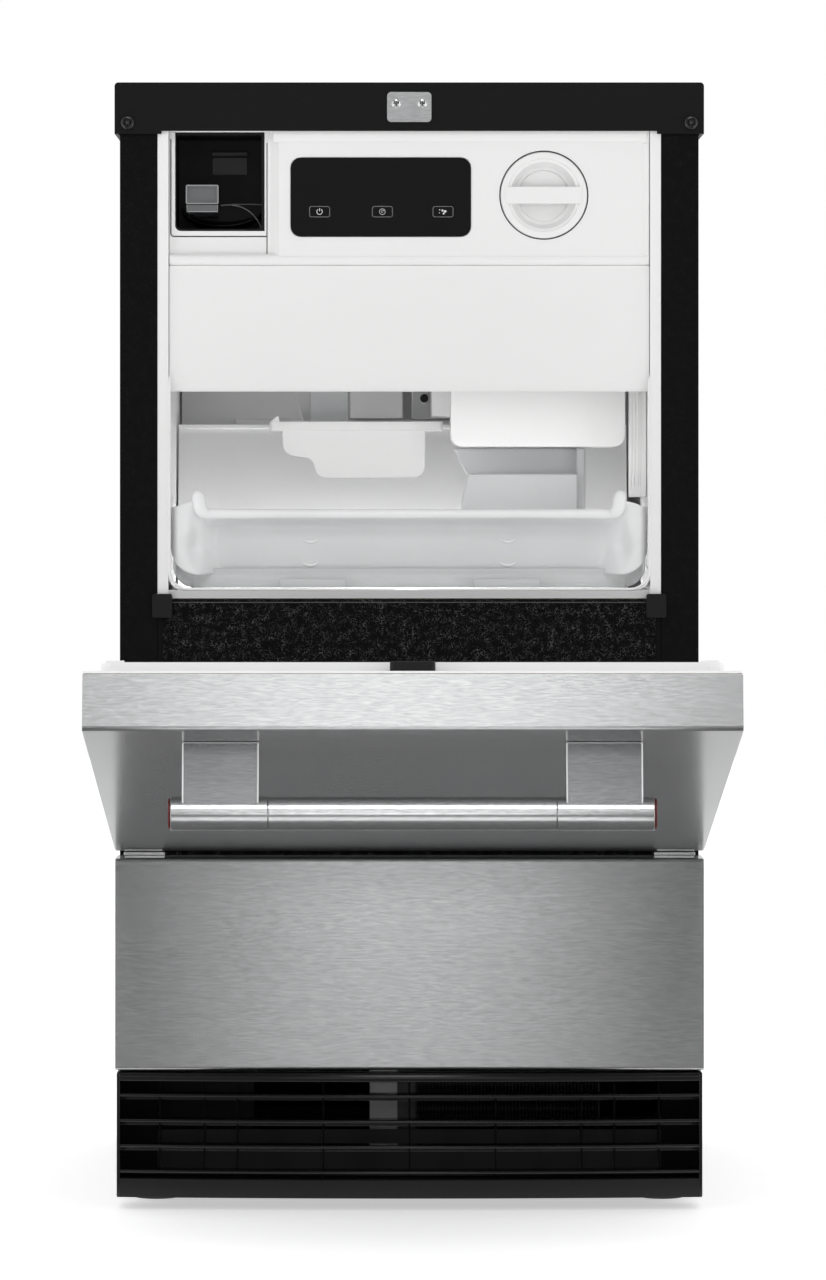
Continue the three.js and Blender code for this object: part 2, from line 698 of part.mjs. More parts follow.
function cabinet() {
  const g = new THREE.Group();
  put(g, [
    ["cabinet_wrapper", cabinetWrapper(), BLACK, 0.45],
    ["top_cap", topCap(), BLACK, 0.4],
    ["strike_plate", strikePlate(), STEEL, 0.35, 0.9],
    ["back_panel", backPanel(), GREY, 0.5, 0.6],
    ["base_pan", basePan(), 0x8b8e90, 0.5, 0.6],
    ["bin_liner", binLiner(), WHITE, 0.4],
    ["cabinet_foam", cabinetFoam(), 0xe8dfb8, 0.9],
    ["chin_panel", chinPanel(), BLACK, 0.35],
    ["lower_front_panel", lowerPanel(), STEEL, 0.35, 0.9],
    ["toe_grille", toeGrille(), BLACK, 0.2],
    ["control_housing", controlHousing(), WHITE, 0.4],
    ["control_overlay", controlOverlay(), 0x0c0d0f, 0.15],
    ["scoop_holder", scoopHolder(), 0x202124, 0.3],
    ["evaporator_plate", evaporatorPlate(), STEEL, 0.3, 0.9],
    ["cutter_grid", cutterGrid(), 0xe2e5e6, 0.4],
    ["water_pan", waterPan(), WHITE, 0.4],
    ["pump_housing", pumpHousing(), WHITE, 0.4],
    ["sump_body", sumpBody(), 0xe4e7e8, 0.35],
    ["ice_deflector", iceDeflector(), 0xb9bcbe, 0.45],
    ["pan_bracket", panBracket(), 0xd2d5d6, 0.4],
    ["bin_sensor", binSensor(), GREY, 0.5],
    ["wall_rail", wallRail(), WHITE, 0.4],
    ["compressor", compressor(), 0x222326, 0.4],
    ["condenser", condenser(), 0x3c3f42, 0.4, 0.7],
    ["fan_shroud", fanShroud(), 0x2a2c2e, 0.5],
    ["fan_motor", fanMotor(), 0x56595c, 0.5, 0.5],
    ["wiring_box", wiringBox(), GREY, 0.5, 0.5],
  ]);
  for (const [name, side] of [["left", -1], ["right", 1]]) {
    const capAt = [side * CAP_SCREW.x, CAP_FRONT - GAP, CAP_SCREW.z];
    put(g, [
      ["corner_block_" + name, cornerBlock(side), BLACK, 0.4],
      ["cap_screw_" + name, screw(...capAt, 5.4, 2.6, 1.7, 6), BLACK, 0.35, 0.6],
      ["hinge_bracket_" + name, hingeBracket(side), STEEL, 0.35, 0.9],
      ["hinge_pin_" + name, hingePin(side), STEEL, 0.3, 0.9],
    ]);
  }
  return g;
}

function loosePieces() {
  const g = new THREE.Group();
  put(g, [
    ["filter_cartridge", filterCartridge(), WHITE, 0.4],
    ["filter_cap", filterCap(), WHITE, 0.4],
    ["ice_scoop", iceScoop(), 0x4a4c4f, 0.25],
    ["evaporator_cover", evaporatorCover(), WHITE, 0.4],
    ["bin_baffle", binBaffle(), 0xd4dadd, 0.3],
    ["fan_blade", fanBlade(), 0x1c1d1f, 0.5],
  ]);
  for (const [name, x] of Object.entries(BUTTON_X)) put(g, [[name, button(x), 0x101114, 0.2]]);
  const legs = [["front", LEG_Y[0]], ["rear", LEG_Y[1]]];
  for (const [where, y] of legs) {
    for (const [name, side] of [["left", -1], ["right", 1]]) {
      put(g, [["leg_" + where + "_" + name, levelingLeg(side * LEG_X, y), 0x3a3b3d, 0.5, 0.4]]);
    }
  }
  return g;
}

function door() {
  const closed = new THREE.Group();
  closed.position.set(0, -PIVOT_Y, -PIVOT_Z);
  put(closed, [
    ["door_skin", doorSkin(), STEEL, 0.3, 0.9],
    ["door_foam", doorFoam(), 0xe8dfb8, 0.9],
    ["door_liner", doorLiner(), WHITE, 0.4],
    ["door_gasket", doorGasket(), WHITE, 0.6],
    ["door_latch", doorLatch(), BLACK, 0.4],
    ["handle_grip", handleGrip(), STEEL, 0.25, 0.95],
  ]);
  for (const [name, side] of [["left", -1], ["right", 1]]) {
    put(closed, [
      ["hinge_leaf_" + name, hingeLeaf(side), STEEL, 0.4, 0.9],
      ["handle_end_" + name, handleEnd(side), STEEL, 0.3, 0.95],
      ["handle_cap_" + name, handleCap(side), 0x9c2b2b, 0.4, 0.3],
    ]);
  }
  const swung = new THREE.Group();
  swung.position.set(0, PIVOT_Y, PIVOT_Z);
  swung.rotation.x = rad(DOOR_OPEN_DEG);
  swung.add(closed);
  return swung;
}

const unit = new THREE.Group();
unit.position.y = SHIFT_Y;
unit.add(cabinet(), loosePieces(), door());
const iceMaker = new THREE.Group();
iceMaker.name = "ice_maker";
iceMaker.add(unit);
export default iceMaker;
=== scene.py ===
"""Undercounter ice maker: materials, fine meshes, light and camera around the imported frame. Metres."""
import json
import math

import bmesh
import bpy
from mathutils import Matrix, Vector


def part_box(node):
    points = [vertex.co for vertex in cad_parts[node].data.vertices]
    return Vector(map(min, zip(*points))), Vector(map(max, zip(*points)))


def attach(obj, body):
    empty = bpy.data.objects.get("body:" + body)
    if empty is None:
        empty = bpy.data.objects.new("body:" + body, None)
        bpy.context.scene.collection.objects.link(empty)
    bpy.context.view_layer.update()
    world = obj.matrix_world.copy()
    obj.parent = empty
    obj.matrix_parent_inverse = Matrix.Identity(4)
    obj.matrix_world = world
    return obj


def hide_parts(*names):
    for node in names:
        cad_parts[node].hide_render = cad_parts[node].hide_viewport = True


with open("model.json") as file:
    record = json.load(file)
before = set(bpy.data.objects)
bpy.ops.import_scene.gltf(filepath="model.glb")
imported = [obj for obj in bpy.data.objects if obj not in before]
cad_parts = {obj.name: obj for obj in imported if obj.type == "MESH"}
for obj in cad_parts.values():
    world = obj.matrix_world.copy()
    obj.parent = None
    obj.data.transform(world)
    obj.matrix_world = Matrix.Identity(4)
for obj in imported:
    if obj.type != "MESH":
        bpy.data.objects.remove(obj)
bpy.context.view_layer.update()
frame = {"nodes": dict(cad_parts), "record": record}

MM = 0.001
NODES = frame["nodes"]


def span(node):
    """Lowest and highest corner of a CAD node, in metres."""
    lo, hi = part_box(node)
    return Vector(lo), Vector(hi)


# The cabinet's front flange plane: the baseline that depths are counted from.
FRONT_Y = span("cabinet_wrapper")[0].y
HINGE = next(j for j in frame["record"]["behaviour"]["joints"] if j["name"] == "door_hinge")
PIVOT = Vector(HINGE["pos_m"])
DOOR_OPEN = math.radians(-HINGE["range_deg"][0])


# ---------- node helpers ----------


class Graph:
    """Short spelling for building a material's node tree."""

    def __init__(self, name):
        self.mat = bpy.data.materials.new(name)
        self.mat.use_nodes = True
        self.tree = self.mat.node_tree
        self.tree.nodes.clear()
        self.out = self.add("ShaderNodeOutputMaterial")
        self.shader = self.add("ShaderNodeBsdfPrincipled")
        self.tree.links.new(self.shader.outputs[0], self.out.inputs["Surface"])

    def add(self, kind, **values):
        node = self.tree.nodes.new(kind)
        for key, value in values.items():
            if hasattr(node, key):
                setattr(node, key, value)
            else:
                node.inputs[key.replace("_", " ")].default_value = value
        return node

    def link(self, a, b):
        self.tree.links.new(a, b)

    def set(self, **values):
        for key, value in values.items():
            self.shader.inputs[key.replace("_", " ")].default_value = value

    def coords(self, scale=(1, 1, 1)):
        where = self.add("ShaderNodeTexCoord")
        mapping = self.add("ShaderNodeMapping")
        mapping.inputs["Scale"].default_value = scale
        self.link(where.outputs["Object"], mapping.inputs["Vector"])
        return mapping.outputs["Vector"]

    def noise(self, vector, scale, detail=3.0, roughness=0.5):
        n = self.add("ShaderNodeTexNoise", Scale=scale, Detail=detail, Roughness=roughness)
        self.link(vector, n.inputs["Vector"])
        return n.outputs["Fac"]

    def ramp(self, fac, stops):
        r = self.add("ShaderNodeValToRGB")
        band = r.color_ramp
        while len(band.elements) < len(stops):
            band.elements.new(0.5)
        for element, (at, value) in zip(band.elements, stops):
            element.position = at
            colour = value if isinstance(value, (tuple, list)) else (value, value, value)
            element.color = (*colour[:3], 1.0)
        self.link(fac, r.inputs["Fac"])
        return r.outputs["Color"]

    def span(self, fac, low, high):
        m = self.add("ShaderNodeMapRange")
        m.inputs["To Min"].default_value = low
        m.inputs["To Max"].default_value = high
        self.link(fac, m.inputs["Value"])
        return m.outputs["Result"]

    def math(self, operation, a, b=None):
        m = self.add("ShaderNodeMath", operation=operation)
        for socket, value in zip(m.inputs, (a, b)):
            if value is None:
                continue
            if isinstance(value, (int, float)):
                socket.default_value = value
            else:
                self.link(value, socket)
        return m.outputs[0]

    def bump(self, height, distance, strength=1.0, normal=None):
        b = self.add("ShaderNodeBump", Strength=strength, Distance=distance)
        self.link(height, b.inputs["Height"])
        if normal is not None:
            self.link(normal, b.inputs["Normal"])
        self.link(b.outputs["Normal"], self.shader.inputs["Normal"])
        return b.outputs["Normal"]


def moulded(name, colour, rough, grain=0.00002, vary=0.04, **more):
    """Moulded plastic or paint: faint colour drift, uneven gloss and a very fine surface texture."""
    g = Graph(name)
    at = g.coords()
    broad = g.noise(at, 9.0, 2.0)
    fine = g.noise(at, 1400.0, 2.0)
    low = [c * (1 - vary) for c in colour]
    high = [min(1.0, c * (1 + vary)) for c in colour]
    g.link(g.ramp(broad, [(0.3, low), (0.7, high)]), g.shader.inputs["Base Color"])
    g.link(g.span(g.noise(at, 60.0, 4.0), rough * 0.85, rough * 1.15), g.shader.inputs["Roughness"])
    g.bump(fine, grain)
    g.set(**more)
    return g.mat


def brushed(name, colour, rough, aniso, streak=0.00003, along=(1.0, 0.013, 0.007)):
    """Brushed metal: hair lines along X, gloss and tone that change from line to line."""
    g = Graph(name)
    hair = g.noise(g.coords((150.0, 1300.0, 1300.0)), 1.0, 2.0, 0.5)
    strands = g.noise(g.coords((110.0, 850.0, 850.0)), 1.0, 2.0, 0.5)
    blotch = g.noise(g.coords(), 7.0, 2.0)
    tone = g.math("ADD", g.math("MULTIPLY", hair, 0.6), g.math("MULTIPLY", strands, 0.4))
    low = [c * 0.88 for c in colour]
    high = [min(1.0, c * 1.12) for c in colour]
    g.link(g.ramp(tone, [(0.36, low), (0.64, high)]), g.shader.inputs["Base Color"])
    wear = g.math("ADD", g.math("MULTIPLY", hair, 0.3), g.math("MULTIPLY", blotch, 0.7))
    g.link(g.span(wear, rough * 0.9, rough * 1.1), g.shader.inputs["Roughness"])
    g.bump(hair, streak)
    g.set(Metallic=1.0, Anisotropic=aniso)
    normal = g.add("ShaderNodeNewGeometry")
    across = g.add("ShaderNodeVectorMath", operation="CROSS_PRODUCT")
    across.inputs[1].default_value = along
    g.link(normal.outputs["Normal"], across.inputs[0])
    g.link(across.outputs[0], g.shader.inputs["Tangent"])
    return g.mat


def leather_black(name, ground, ridge_glint_colour, depth):
    """Black sheet embossed with a fine leather grain: short worm-like ridges on a smooth dark ground, with
    the ridges painted lighter as painted highlights where they catch light.
    """
    g = Graph(name)
    at = g.coords()
    warp = g.add("ShaderNodeTexNoise", Scale=620.0, Detail=1.0)
    g.link(at, warp.inputs["Vector"])
    shift = g.add("ShaderNodeVectorMath", operation="MULTIPLY_ADD")
    g.link(warp.outputs["Color"], shift.inputs[0])
    shift.inputs[1].default_value = (0.0011, 0.0011, 0.0011)
    g.link(at, shift.inputs[2])
    worm = g.noise(shift.outputs[0], 520.0, 1.0, 0.5)
    ridge = g.math("ABSOLUTE", g.math("SUBTRACT", worm, 0.5))
    ridge = g.math("SUBTRACT", 1.0, g.math("MULTIPLY", ridge, 12.0))
    ridge = g.math("MAXIMUM", ridge, 0.0)
    patches = g.noise(at, 160.0, 2.0)
    ridge = g.math("MULTIPLY", ridge, g.span(patches, -0.1, 1.6))
    # The ridge colour is a painted highlight: lighter ridges stand in for glints on the raised grain.
    g.link(g.ramp(ridge, [(0.45, ground), (0.95, ridge_glint_colour)]), g.shader.inputs["Base Color"])
    g.set(Roughness=0.42, Specular_IOR_Level=0.08)
    g.bump(ridge, depth)
    return g.mat


def foam_material(name):
    g = Graph(name)
    at = g.coords()
    cells = g.add("ShaderNodeTexVoronoi", Scale=600.0)
    g.link(at, cells.inputs["Vector"])
    g.link(g.ramp(g.noise(at, 30.0), [(0.3, (0.66, 0.55, 0.30)), (0.7, (0.78, 0.68, 0.42))]),
           g.shader.inputs["Base Color"])
    g.set(Roughness=0.9)
    g.bump(cells.outputs["Distance"], 0.0006)
    return g.mat


def paint_light_to_ends(g, middle, painted_light_ends, near, far):
    """Colour that turns to another one between two distances from a piece's middle along X, in metres: used
    to paint lighter ends as painted highlight.
    """
    where = g.add("ShaderNodeTexCoord")
    split = g.add("ShaderNodeSeparateXYZ")
    g.link(where.outputs["Object"], split.inputs["Vector"])
    blend = g.add("ShaderNodeMapRange", interpolation_type="SMOOTHSTEP")
    blend.inputs["From Min"].default_value = near
    blend.inputs["From Max"].default_value = far
    g.link(g.math("ABSOLUTE", split.outputs["X"]), blend.inputs["Value"])
    mix = g.add("ShaderNodeMixRGB")
    mix.inputs["Color2"].default_value = (*painted_light_ends, 1.0)
    g.link(middle, mix.inputs["Color1"])
    g.link(blend.outputs["Result"], mix.inputs["Fac"])
    return mix.outputs["Color"]


def milky(name, colour, rough, transmission, vary=0.03, painted_light_ends=None):
    """Translucent moulded plastic; an optional colour for both ends, with where it starts and is reached,
    paints the ends lighter: painted highlight where they catch light.
    """
    g = Graph(name)
    at = g.coords()
    broad = g.noise(at, 11.0, 2.0)
    low = [c * (1 - vary) for c in colour]
    high = [min(1.0, c * (1 + vary)) for c in colour]
    base = g.ramp(broad, [(0.3, low), (0.7, high)])
    if painted_light_ends:
        base = paint_light_to_ends(g, base, *painted_light_ends)
    g.link(base, g.shader.inputs["Base Color"])
    g.link(g.span(g.noise(at, 80.0), rough * 0.85, rough * 1.15), g.shader.inputs["Roughness"])
    g.bump(g.noise(at, 900.0), 0.00002)
    g.set(Transmission_Weight=transmission, IOR=1.49)
    return g.mat


MATS = {
    "black_paint": moulded("black_paint", (0.0058, 0.0058, 0.006), 0.5, 0.00003, 0.1,
                           Specular_IOR_Level=0.14),
    "black_plastic": moulded("black_plastic", (0.006, 0.006, 0.0062), 0.4, 0.00003, 0.1,
                             Specular_IOR_Level=0.25),
    "black_grain": leather_black("black_grain", (0.0006, 0.0006, 0.0007), (0.1, 0.1, 0.101), 0.0003),
    "gloss_black": moulded("gloss_black", (0.006, 0.006, 0.0065), 0.13, 0.000004, 0.1),
    "overlay_black": moulded("overlay_black", (0.006, 0.006, 0.0062), 0.35, 0.000006, 0.08,
                             Specular_IOR_Level=0.12),
    "white_plastic": moulded("white_plastic", (0.865, 0.862, 0.86), 0.34, 0.00001, 0.01),
    "milky_plastic": milky("milky_plastic", (0.8, 0.815, 0.82), 0.3, 0.2),
    "smoky_plastic": milky("smoky_plastic", (0.2, 0.205, 0.21), 0.16, 0.35),
    "grey_plastic": moulded("grey_plastic", (0.5, 0.505, 0.51), 0.4, 0.00002, 0.03),
    "stainless": brushed("stainless", (0.56, 0.565, 0.57), 0.25, 0.9, 0.000006),
    "bright_steel": brushed("bright_steel", (0.66, 0.665, 0.67), 0.24, 0.5, 0.00001),
    "zinc": moulded("zinc", (0.42, 0.43, 0.44), 0.38, 0.00006, 0.14, Metallic=0.9),
    "red_ring": moulded("red_ring", (0.13, 0.022, 0.02), 0.35, 0.00001, 0.08, Metallic=0.4),
    "gasket": moulded("gasket", (0.93, 0.93, 0.935), 0.55, 0.00003, 0.02),
    "foam": foam_material("foam"),
    "dark_metal": moulded("dark_metal", (0.012, 0.012, 0.0125), 0.5, 0.00005, 0.15,
                          Specular_IOR_Level=0.25),
    "coil": moulded("coil", (0.03, 0.031, 0.032), 0.4, 0.00003, 0.2, Metallic=0.5),
    # Lighter metal for the handle posts' bevels: painted highlight lines.
    "painted_highlight_edge": moulded("painted_highlight_edge", (0.9, 0.9, 0.9), 0.35, 0.000004, 0.02, Metallic=0.7),
    "side_black": leather_black("side_black", (0.003, 0.003, 0.0031), (0.0085, 0.0085, 0.0086),
                                0.00008),
    "rib_black": moulded("rib_black", (0.003, 0.003, 0.003), 0.5, 0.00002, 0.1, Specular_IOR_Level=0.1),
    "plate_grey": moulded("plate_grey", (0.5, 0.5, 0.5), 0.45, 0.00003, 0.1),
    "bay_grey": moulded("bay_grey", (0.06, 0.061, 0.062), 0.5, 0.00003, 0.1),
    "catch_grey": moulded("catch_grey", (0.045, 0.045, 0.046), 0.35, 0.00002, 0.1),
    "screw_black": moulded("screw_black", (0.012, 0.012, 0.0125), 0.2, 0.00001, 0.1),
    "print_grey": moulded("print_grey", (0.22, 0.22, 0.225), 0.45, 0.00001, 0.03),
    "print_white": moulded("print_white", (0.7, 0.7, 0.7), 0.45, 0.00001, 0.03),
    "pale_grey": moulded("pale_grey", (0.82, 0.82, 0.82), 0.4, 0.00002, 0.01),
    "satin_steel": brushed("satin_steel", (0.52, 0.525, 0.53), 0.42, 0.3, 0.00002),
    # Darker grey for the liner's white lower flange: painted shade.
    "sill_painted_shade": moulded("sill_painted_shade", (0.56, 0.56, 0.56), 0.4, 0.00001, 0.02),
    # Grey standing in for the shade on the bin's white rear wall: painted shade.
    "wall_grey_painted_shade": moulded("wall_grey_painted_shade", (0.6, 0.6, 0.6), 0.45, 0.00002, 0.03),
    # The baffle's lobes are painted lighter towards both ends: painted highlight where they face the light.
    "milky_painted_lit_lobes": milky("milky_painted_lit_lobes", (0.8, 0.815, 0.82), 0.3, 0.12,
                         painted_light_ends=((0.97, 0.975, 0.98), 0.135, 0.17)),
    # Lighter copy of the milky plastic: painted highlight on the baffle's rim and dimples.
    "milky_painted_highlight": milky("milky_painted_highlight", (0.95, 0.955, 0.96), 0.25, 0.05),
    # Light grey for the scoop grip's edges: painted highlight.
    "scoop_highlight_grey": moulded("scoop_highlight_grey", (0.42, 0.425, 0.43), 0.3, 0.000005, 0.05),
    "screw_gloss": moulded("screw_gloss", (0.01, 0.01, 0.0105), 0.14, 0.000004, 0.05),
    # Lighter black for the chin's rolled top edge: painted highlight line.
    "lip_painted_glint": moulded("lip_painted_glint", (0.05, 0.05, 0.052), 0.2, 0.00001, 0.1),
    "satin_black": moulded("satin_black", (0.011, 0.011, 0.0112), 0.42, 0.00002, 0.1,
                           Specular_IOR_Level=0.3),
    "handle_steel": brushed("handle_steel", (0.6, 0.605, 0.61), 0.2, 0.7, 0.000004),
    "post_steel": brushed("post_steel", (0.34, 0.345, 0.35), 0.26, 0.5, 0.000004),
}


# ---------- mesh helpers ----------
# Pieces are drawn in millimetres in the cabinet's frame: Y = 0 is its front flange, the door is closed.


def edges(node):
    """x0, x1, y0, y1, z0, z1 in the cabinet's millimetres, for a CAD node that doesn't ride on the door."""
    lo, hi = span(node)
    return (lo.x / MM, hi.x / MM, (lo.y - FRONT_Y) / MM, (hi.y - FRONT_Y) / MM, lo.z / MM, hi.z / MM)


def arc(cu, cv, r, start, end, n=8):
    """Points of an arc, angles in degrees."""
    turn = [math.radians(start + (end - start) * i / n) for i in range(n + 1)]
    return [(cu + r * math.cos(t), cv + r * math.sin(t)) for t in turn]


def rounded(u0, u1, v0, v1, r, n=6):
    """Rectangle outline with one radius, or radii for its top right, top left, bottom left, bottom right."""
    tr, tl, bl, br = r if isinstance(r, (list, tuple)) else (r, r, r, r)
    corners = [(u1 - tr, v1 - tr, tr, 0), (u0 + tl, v1 - tl, tl, 90),
               (u0 + bl, v0 + bl, bl, 180), (u1 - br, v0 + br, br, 270)]
    points = []
    for cu, cv, radius, start in corners:
        points += arc(cu, cv, radius, start, start + 90, n) if radius else [(cu, cv)]
    return points


def smooth_step(lo, hi, x):
    t = min(1.0, max(0.0, (x - lo) / (hi - lo)))
    return t * t * (3 - 2 * t)


def place(axis, u, v, w):
    """Point from outline coordinates and the distance along an axis."""
    return {"x": (w, u, v), "y": (u, w, v), "z": (u, v, w)}[axis]


def skin(bm, rings, closed=True, caps=True):
    """Quads between neighbouring rings of points, with the first and last ring filled in."""
    rows = [[bm.verts.new(p) for p in ring] for ring in rings]
    count = len(rows[0])
    for low, high in zip(rows, rows[1:]):
        for i in range(count if closed else count - 1):
            j = (i + 1) % count
            bm.faces.new((low[i], low[j], high[j], high[i]))
    if caps and closed:
        bm.faces.new(reversed(rows[0]))
        bm.faces.new(rows[-1])
    return rows


def prism(bm, axis, outline, lo, hi):
    skin(bm, [[place(axis, u, v, w) for u, v in outline] for w in (lo, hi)])


def block(bm, x0, x1, y0, y1, z0, z1):
    prism(bm, "z", [(x0, y0), (x1, y0), (x1, y1), (x0, y1)], z0, z1)


def rod(bm, axis, cu, cv, lo, hi, r, n=32):
    prism(bm, axis, arc(cu, cv, r, 0, 360, n)[:-1], lo, hi)


def turned(bm, profile, x, y, z, n=64):
    """A closed (radius, depth) profile turned about a line along Y; depth counts back from y."""
    rings = []
    for radius, depth in profile:
        r = max(radius, 0.01)
        rings.append([(px, y + depth, pz) for px, pz in arc(x, z, r, 0, 360, n)[:-1]])
    skin(bm, rings)


def tube(bm, path, r, n=10):
    """Round bar along a path; r is one radius or one for each point."""
    points = [Vector(p) for p in path]
    radii = r if isinstance(r, (list, tuple)) else [r] * len(points)
    rings = []
    side = None
    for i, (point, radius) in enumerate(zip(points, radii)):
        ahead = points[min(i + 1, len(points) - 1)]
        behind = points[max(i - 1, 0)]
        along = (ahead - behind).normalized()
        guide = side if side is not None else Vector((0, 1, 0))
        if abs(along.dot(guide)) > 0.95:
            guide = Vector((0, 0, 1))
        side = (guide - along * guide.dot(along)).normalized()
        up = along.cross(side)
        turn = [2 * math.pi * k / n for k in range(n)]
        rings.append([point + (side * math.cos(t) + up * math.sin(t)) * radius for t in turn])
    skin(bm, rings)


CABINET_PLACE = Matrix.Translation((0, FRONT_Y, 0)) @ Matrix.Scale(MM, 4)
DOOR_PLACE = (Matrix.Translation(PIVOT) @ Matrix.Rotation(DOOR_OPEN, 4, "X")
              @ Matrix.Translation(-PIVOT) @ CABINET_PLACE)


def piece(name, draw, material, body="cabinet", replaces=(), bevel=0.0, segments=3,
          subsurf=0, shell=0.0, smooth=35.0):
    """draw(bm) adds the piece's shape in millimetres; it then rides on a body with its own finish."""
    bm = bmesh.new()
    draw(bm)
    bm.transform(DOOR_PLACE if body == "door" else CABINET_PLACE)
    bmesh.ops.recalc_face_normals(bm, faces=bm.faces)
    mesh = bpy.data.meshes.new(name)
    bm.to_mesh(mesh)
    bm.free()
    obj = bpy.data.objects.new(name, mesh)
    bpy.context.scene.collection.objects.link(obj)
    mesh.materials.append(MATS[material])
    finish_edges(obj, bevel, segments, subsurf, shell, smooth)
    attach(obj, body)
    if replaces:
        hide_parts(*replaces)
    return obj


def finish_edges(obj, bevel, segments, subsurf, shell, smooth):
    """Wall thickness, softened edges and shading, as modifiers. Bevel and shell are in millimetres."""
    for face in obj.data.polygons:
        face.use_smooth = True
    if shell:
        m = obj.modifiers.new("shell", "SOLIDIFY")
        m.thickness = shell * MM
        m.offset = -1.0
        m.use_even_offset = True
    if bevel:
        m = obj.modifiers.new("edges", "BEVEL")
        m.width = bevel * MM
        m.segments = segments
        m.limit_method = "ANGLE"
        m.angle_limit = math.radians(28.0)
        m.harden_normals = True
    if subsurf:
        m = obj.modifiers.new("surface", "SUBSURF")
        m.levels = m.render_levels = subsurf
    if not bevel and not subsurf:
        m = obj.modifiers.new("shading", "EDGE_SPLIT")
        m.split_angle = math.radians(smooth)


def dress(node, material, bevel=0.0, segments=2):
    """A carried-over CAD node: its material, and softened edges where asked."""
    obj = NODES[node]
    obj.data.materials.clear()
    obj.data.materials.append(MATS[material])
    if bevel:
        m = obj.modifiers.new("weld", "WELD")
        m.merge_threshold = 0.00002
        m = obj.modifiers.new("edges", "BEVEL")
        m.width = bevel
        m.segments = segments
        m.limit_method = "ANGLE"
        m.angle_limit = math.radians(30.0)
        m.harden_normals = True
    return obj


# ---------- camera, light, stage ----------

CAMERA_DISTANCE = 5.207
CAMERA_LEFT = -0.0203
CAMERA_HEIGHT = 0.5392
CAMERA_LENS = 190.9
CAMERA_SHIFT = (0.0236, -0.1098)
# Lamps inside the bin, all shining towards its rear wall: x, depth behind the front flange, z, rise of
# the beam over 0.2 m, width, height, power.
BIN_LAMPS = {
    "mouth": (0.0, 0.014, 0.579, 0.0, 0.35, 0.07, 0.05),
    "sump": (0.0, 0.158, 0.465, 0.22, 0.34, 0.03, 0.25),
    "wall": (-0.05, 0.22, 0.612, 0.02, 0.26, 0.03, 0.032),
}


def camera():
    """Level camera in front, a little to the left of the middle."""
    data = bpy.data.cameras.new("camera")
    data.sensor_width = 36.0
    data.lens = CAMERA_LENS
    data.shift_x, data.shift_y = CAMERA_SHIFT
    cam = bpy.data.objects.new("camera", data)
    cam.location = (CAMERA_LEFT, FRONT_Y - CAMERA_DISTANCE, CAMERA_HEIGHT)
    cam.rotation_euler = (math.radians(90), 0, 0)
    bpy.context.scene.collection.objects.link(cam)
    bpy.context.scene.camera = cam


def area(name, at, look, size_x, size_y, power):
    data = bpy.data.lights.new(name, "AREA")
    data.shape = "RECTANGLE"
    data.size = size_x
    data.size_y = size_y
    data.energy = power
    lamp = bpy.data.objects.new(name, data)
    lamp.location = at
    lamp.rotation_euler = (Vector(look) - Vector(at)).to_track_quat("-Z", "Y").to_euler()
    bpy.context.scene.collection.objects.link(lamp)
    return lamp


def studio():
    """Pale studio: bright behind and above the object, dim towards the camera, soft boxes in front."""
    world = bpy.data.worlds.new("studio")
    bpy.context.scene.world = world
    world.use_nodes = True
    tree = world.node_tree
    where = tree.nodes.new("ShaderNodeTexCoord")
    axis = tree.nodes.new("ShaderNodeVectorMath")
    axis.operation = "DOT_PRODUCT"
    axis.inputs[1].default_value = (0, -1, 0)
    ramp = tree.nodes.new("ShaderNodeValToRGB")
    band = ramp.color_ramp
    band.elements[0].position = 0.0
    band.elements[0].color = (1, 1, 1, 1)
    band.elements[1].position = 0.9
    band.elements[1].color = (0.06, 0.06, 0.06, 1)
    middle = band.elements.new(0.4)
    middle.color = (0.5, 0.5, 0.5, 1)
    tree.links.new(where.outputs["Generated"], axis.inputs[0])
    tree.links.new(axis.outputs["Value"], ramp.inputs["Fac"])
    tree.links.new(ramp.outputs["Color"], tree.nodes["Background"].inputs["Color"])
    area("key_box", (0.0, -3.0, 3.0), (0, 0, 0.45), 1.4, 0.8, 24)
    area("fill_left", (-2.6, -3.0, 1.3), (0, 0, 0.5), 1.0, 1.6, 13)
    area("fill_right", (2.6, -3.0, 1.3), (0, 0, 0.5), 1.0, 1.6, 13)
    area("high_strip", (0.0, -5.7, 2.15), (0, 0, 0.45), 0.75, 1.2, 4.6)
    area("low_strip", (0.0, -5.7, 0.6), (0, 0, 0.2), 0.5, 1.1, 4.5)
    area("upper_fill", (0.0, -5.0, 3.2), (0, 0, 0.5), 4.0, 1.4, 9)
    for name, (x, depth, z, rise, size_x, size_y, power) in BIN_LAMPS.items():
        y = FRONT_Y + depth
        area("bin_lamp_" + name, (x, y, z), (x, y + 0.2, z + rise), size_x, size_y, power)


def card(name, x0, x1, y0, y1, z, material):
    """Flat level rectangle."""
    bm = bmesh.new()
    corners = [(x0, y0, z), (x1, y0, z), (x1, y1, z), (x0, y1, z)]
    bm.faces.new([bm.verts.new(c) for c in corners])
    mesh = bpy.data.meshes.new(name)
    bm.to_mesh(mesh)
    bm.free()
    obj = bpy.data.objects.new(name, mesh)
    bpy.context.scene.collection.objects.link(obj)
    mesh.materials.append(material)
    return obj


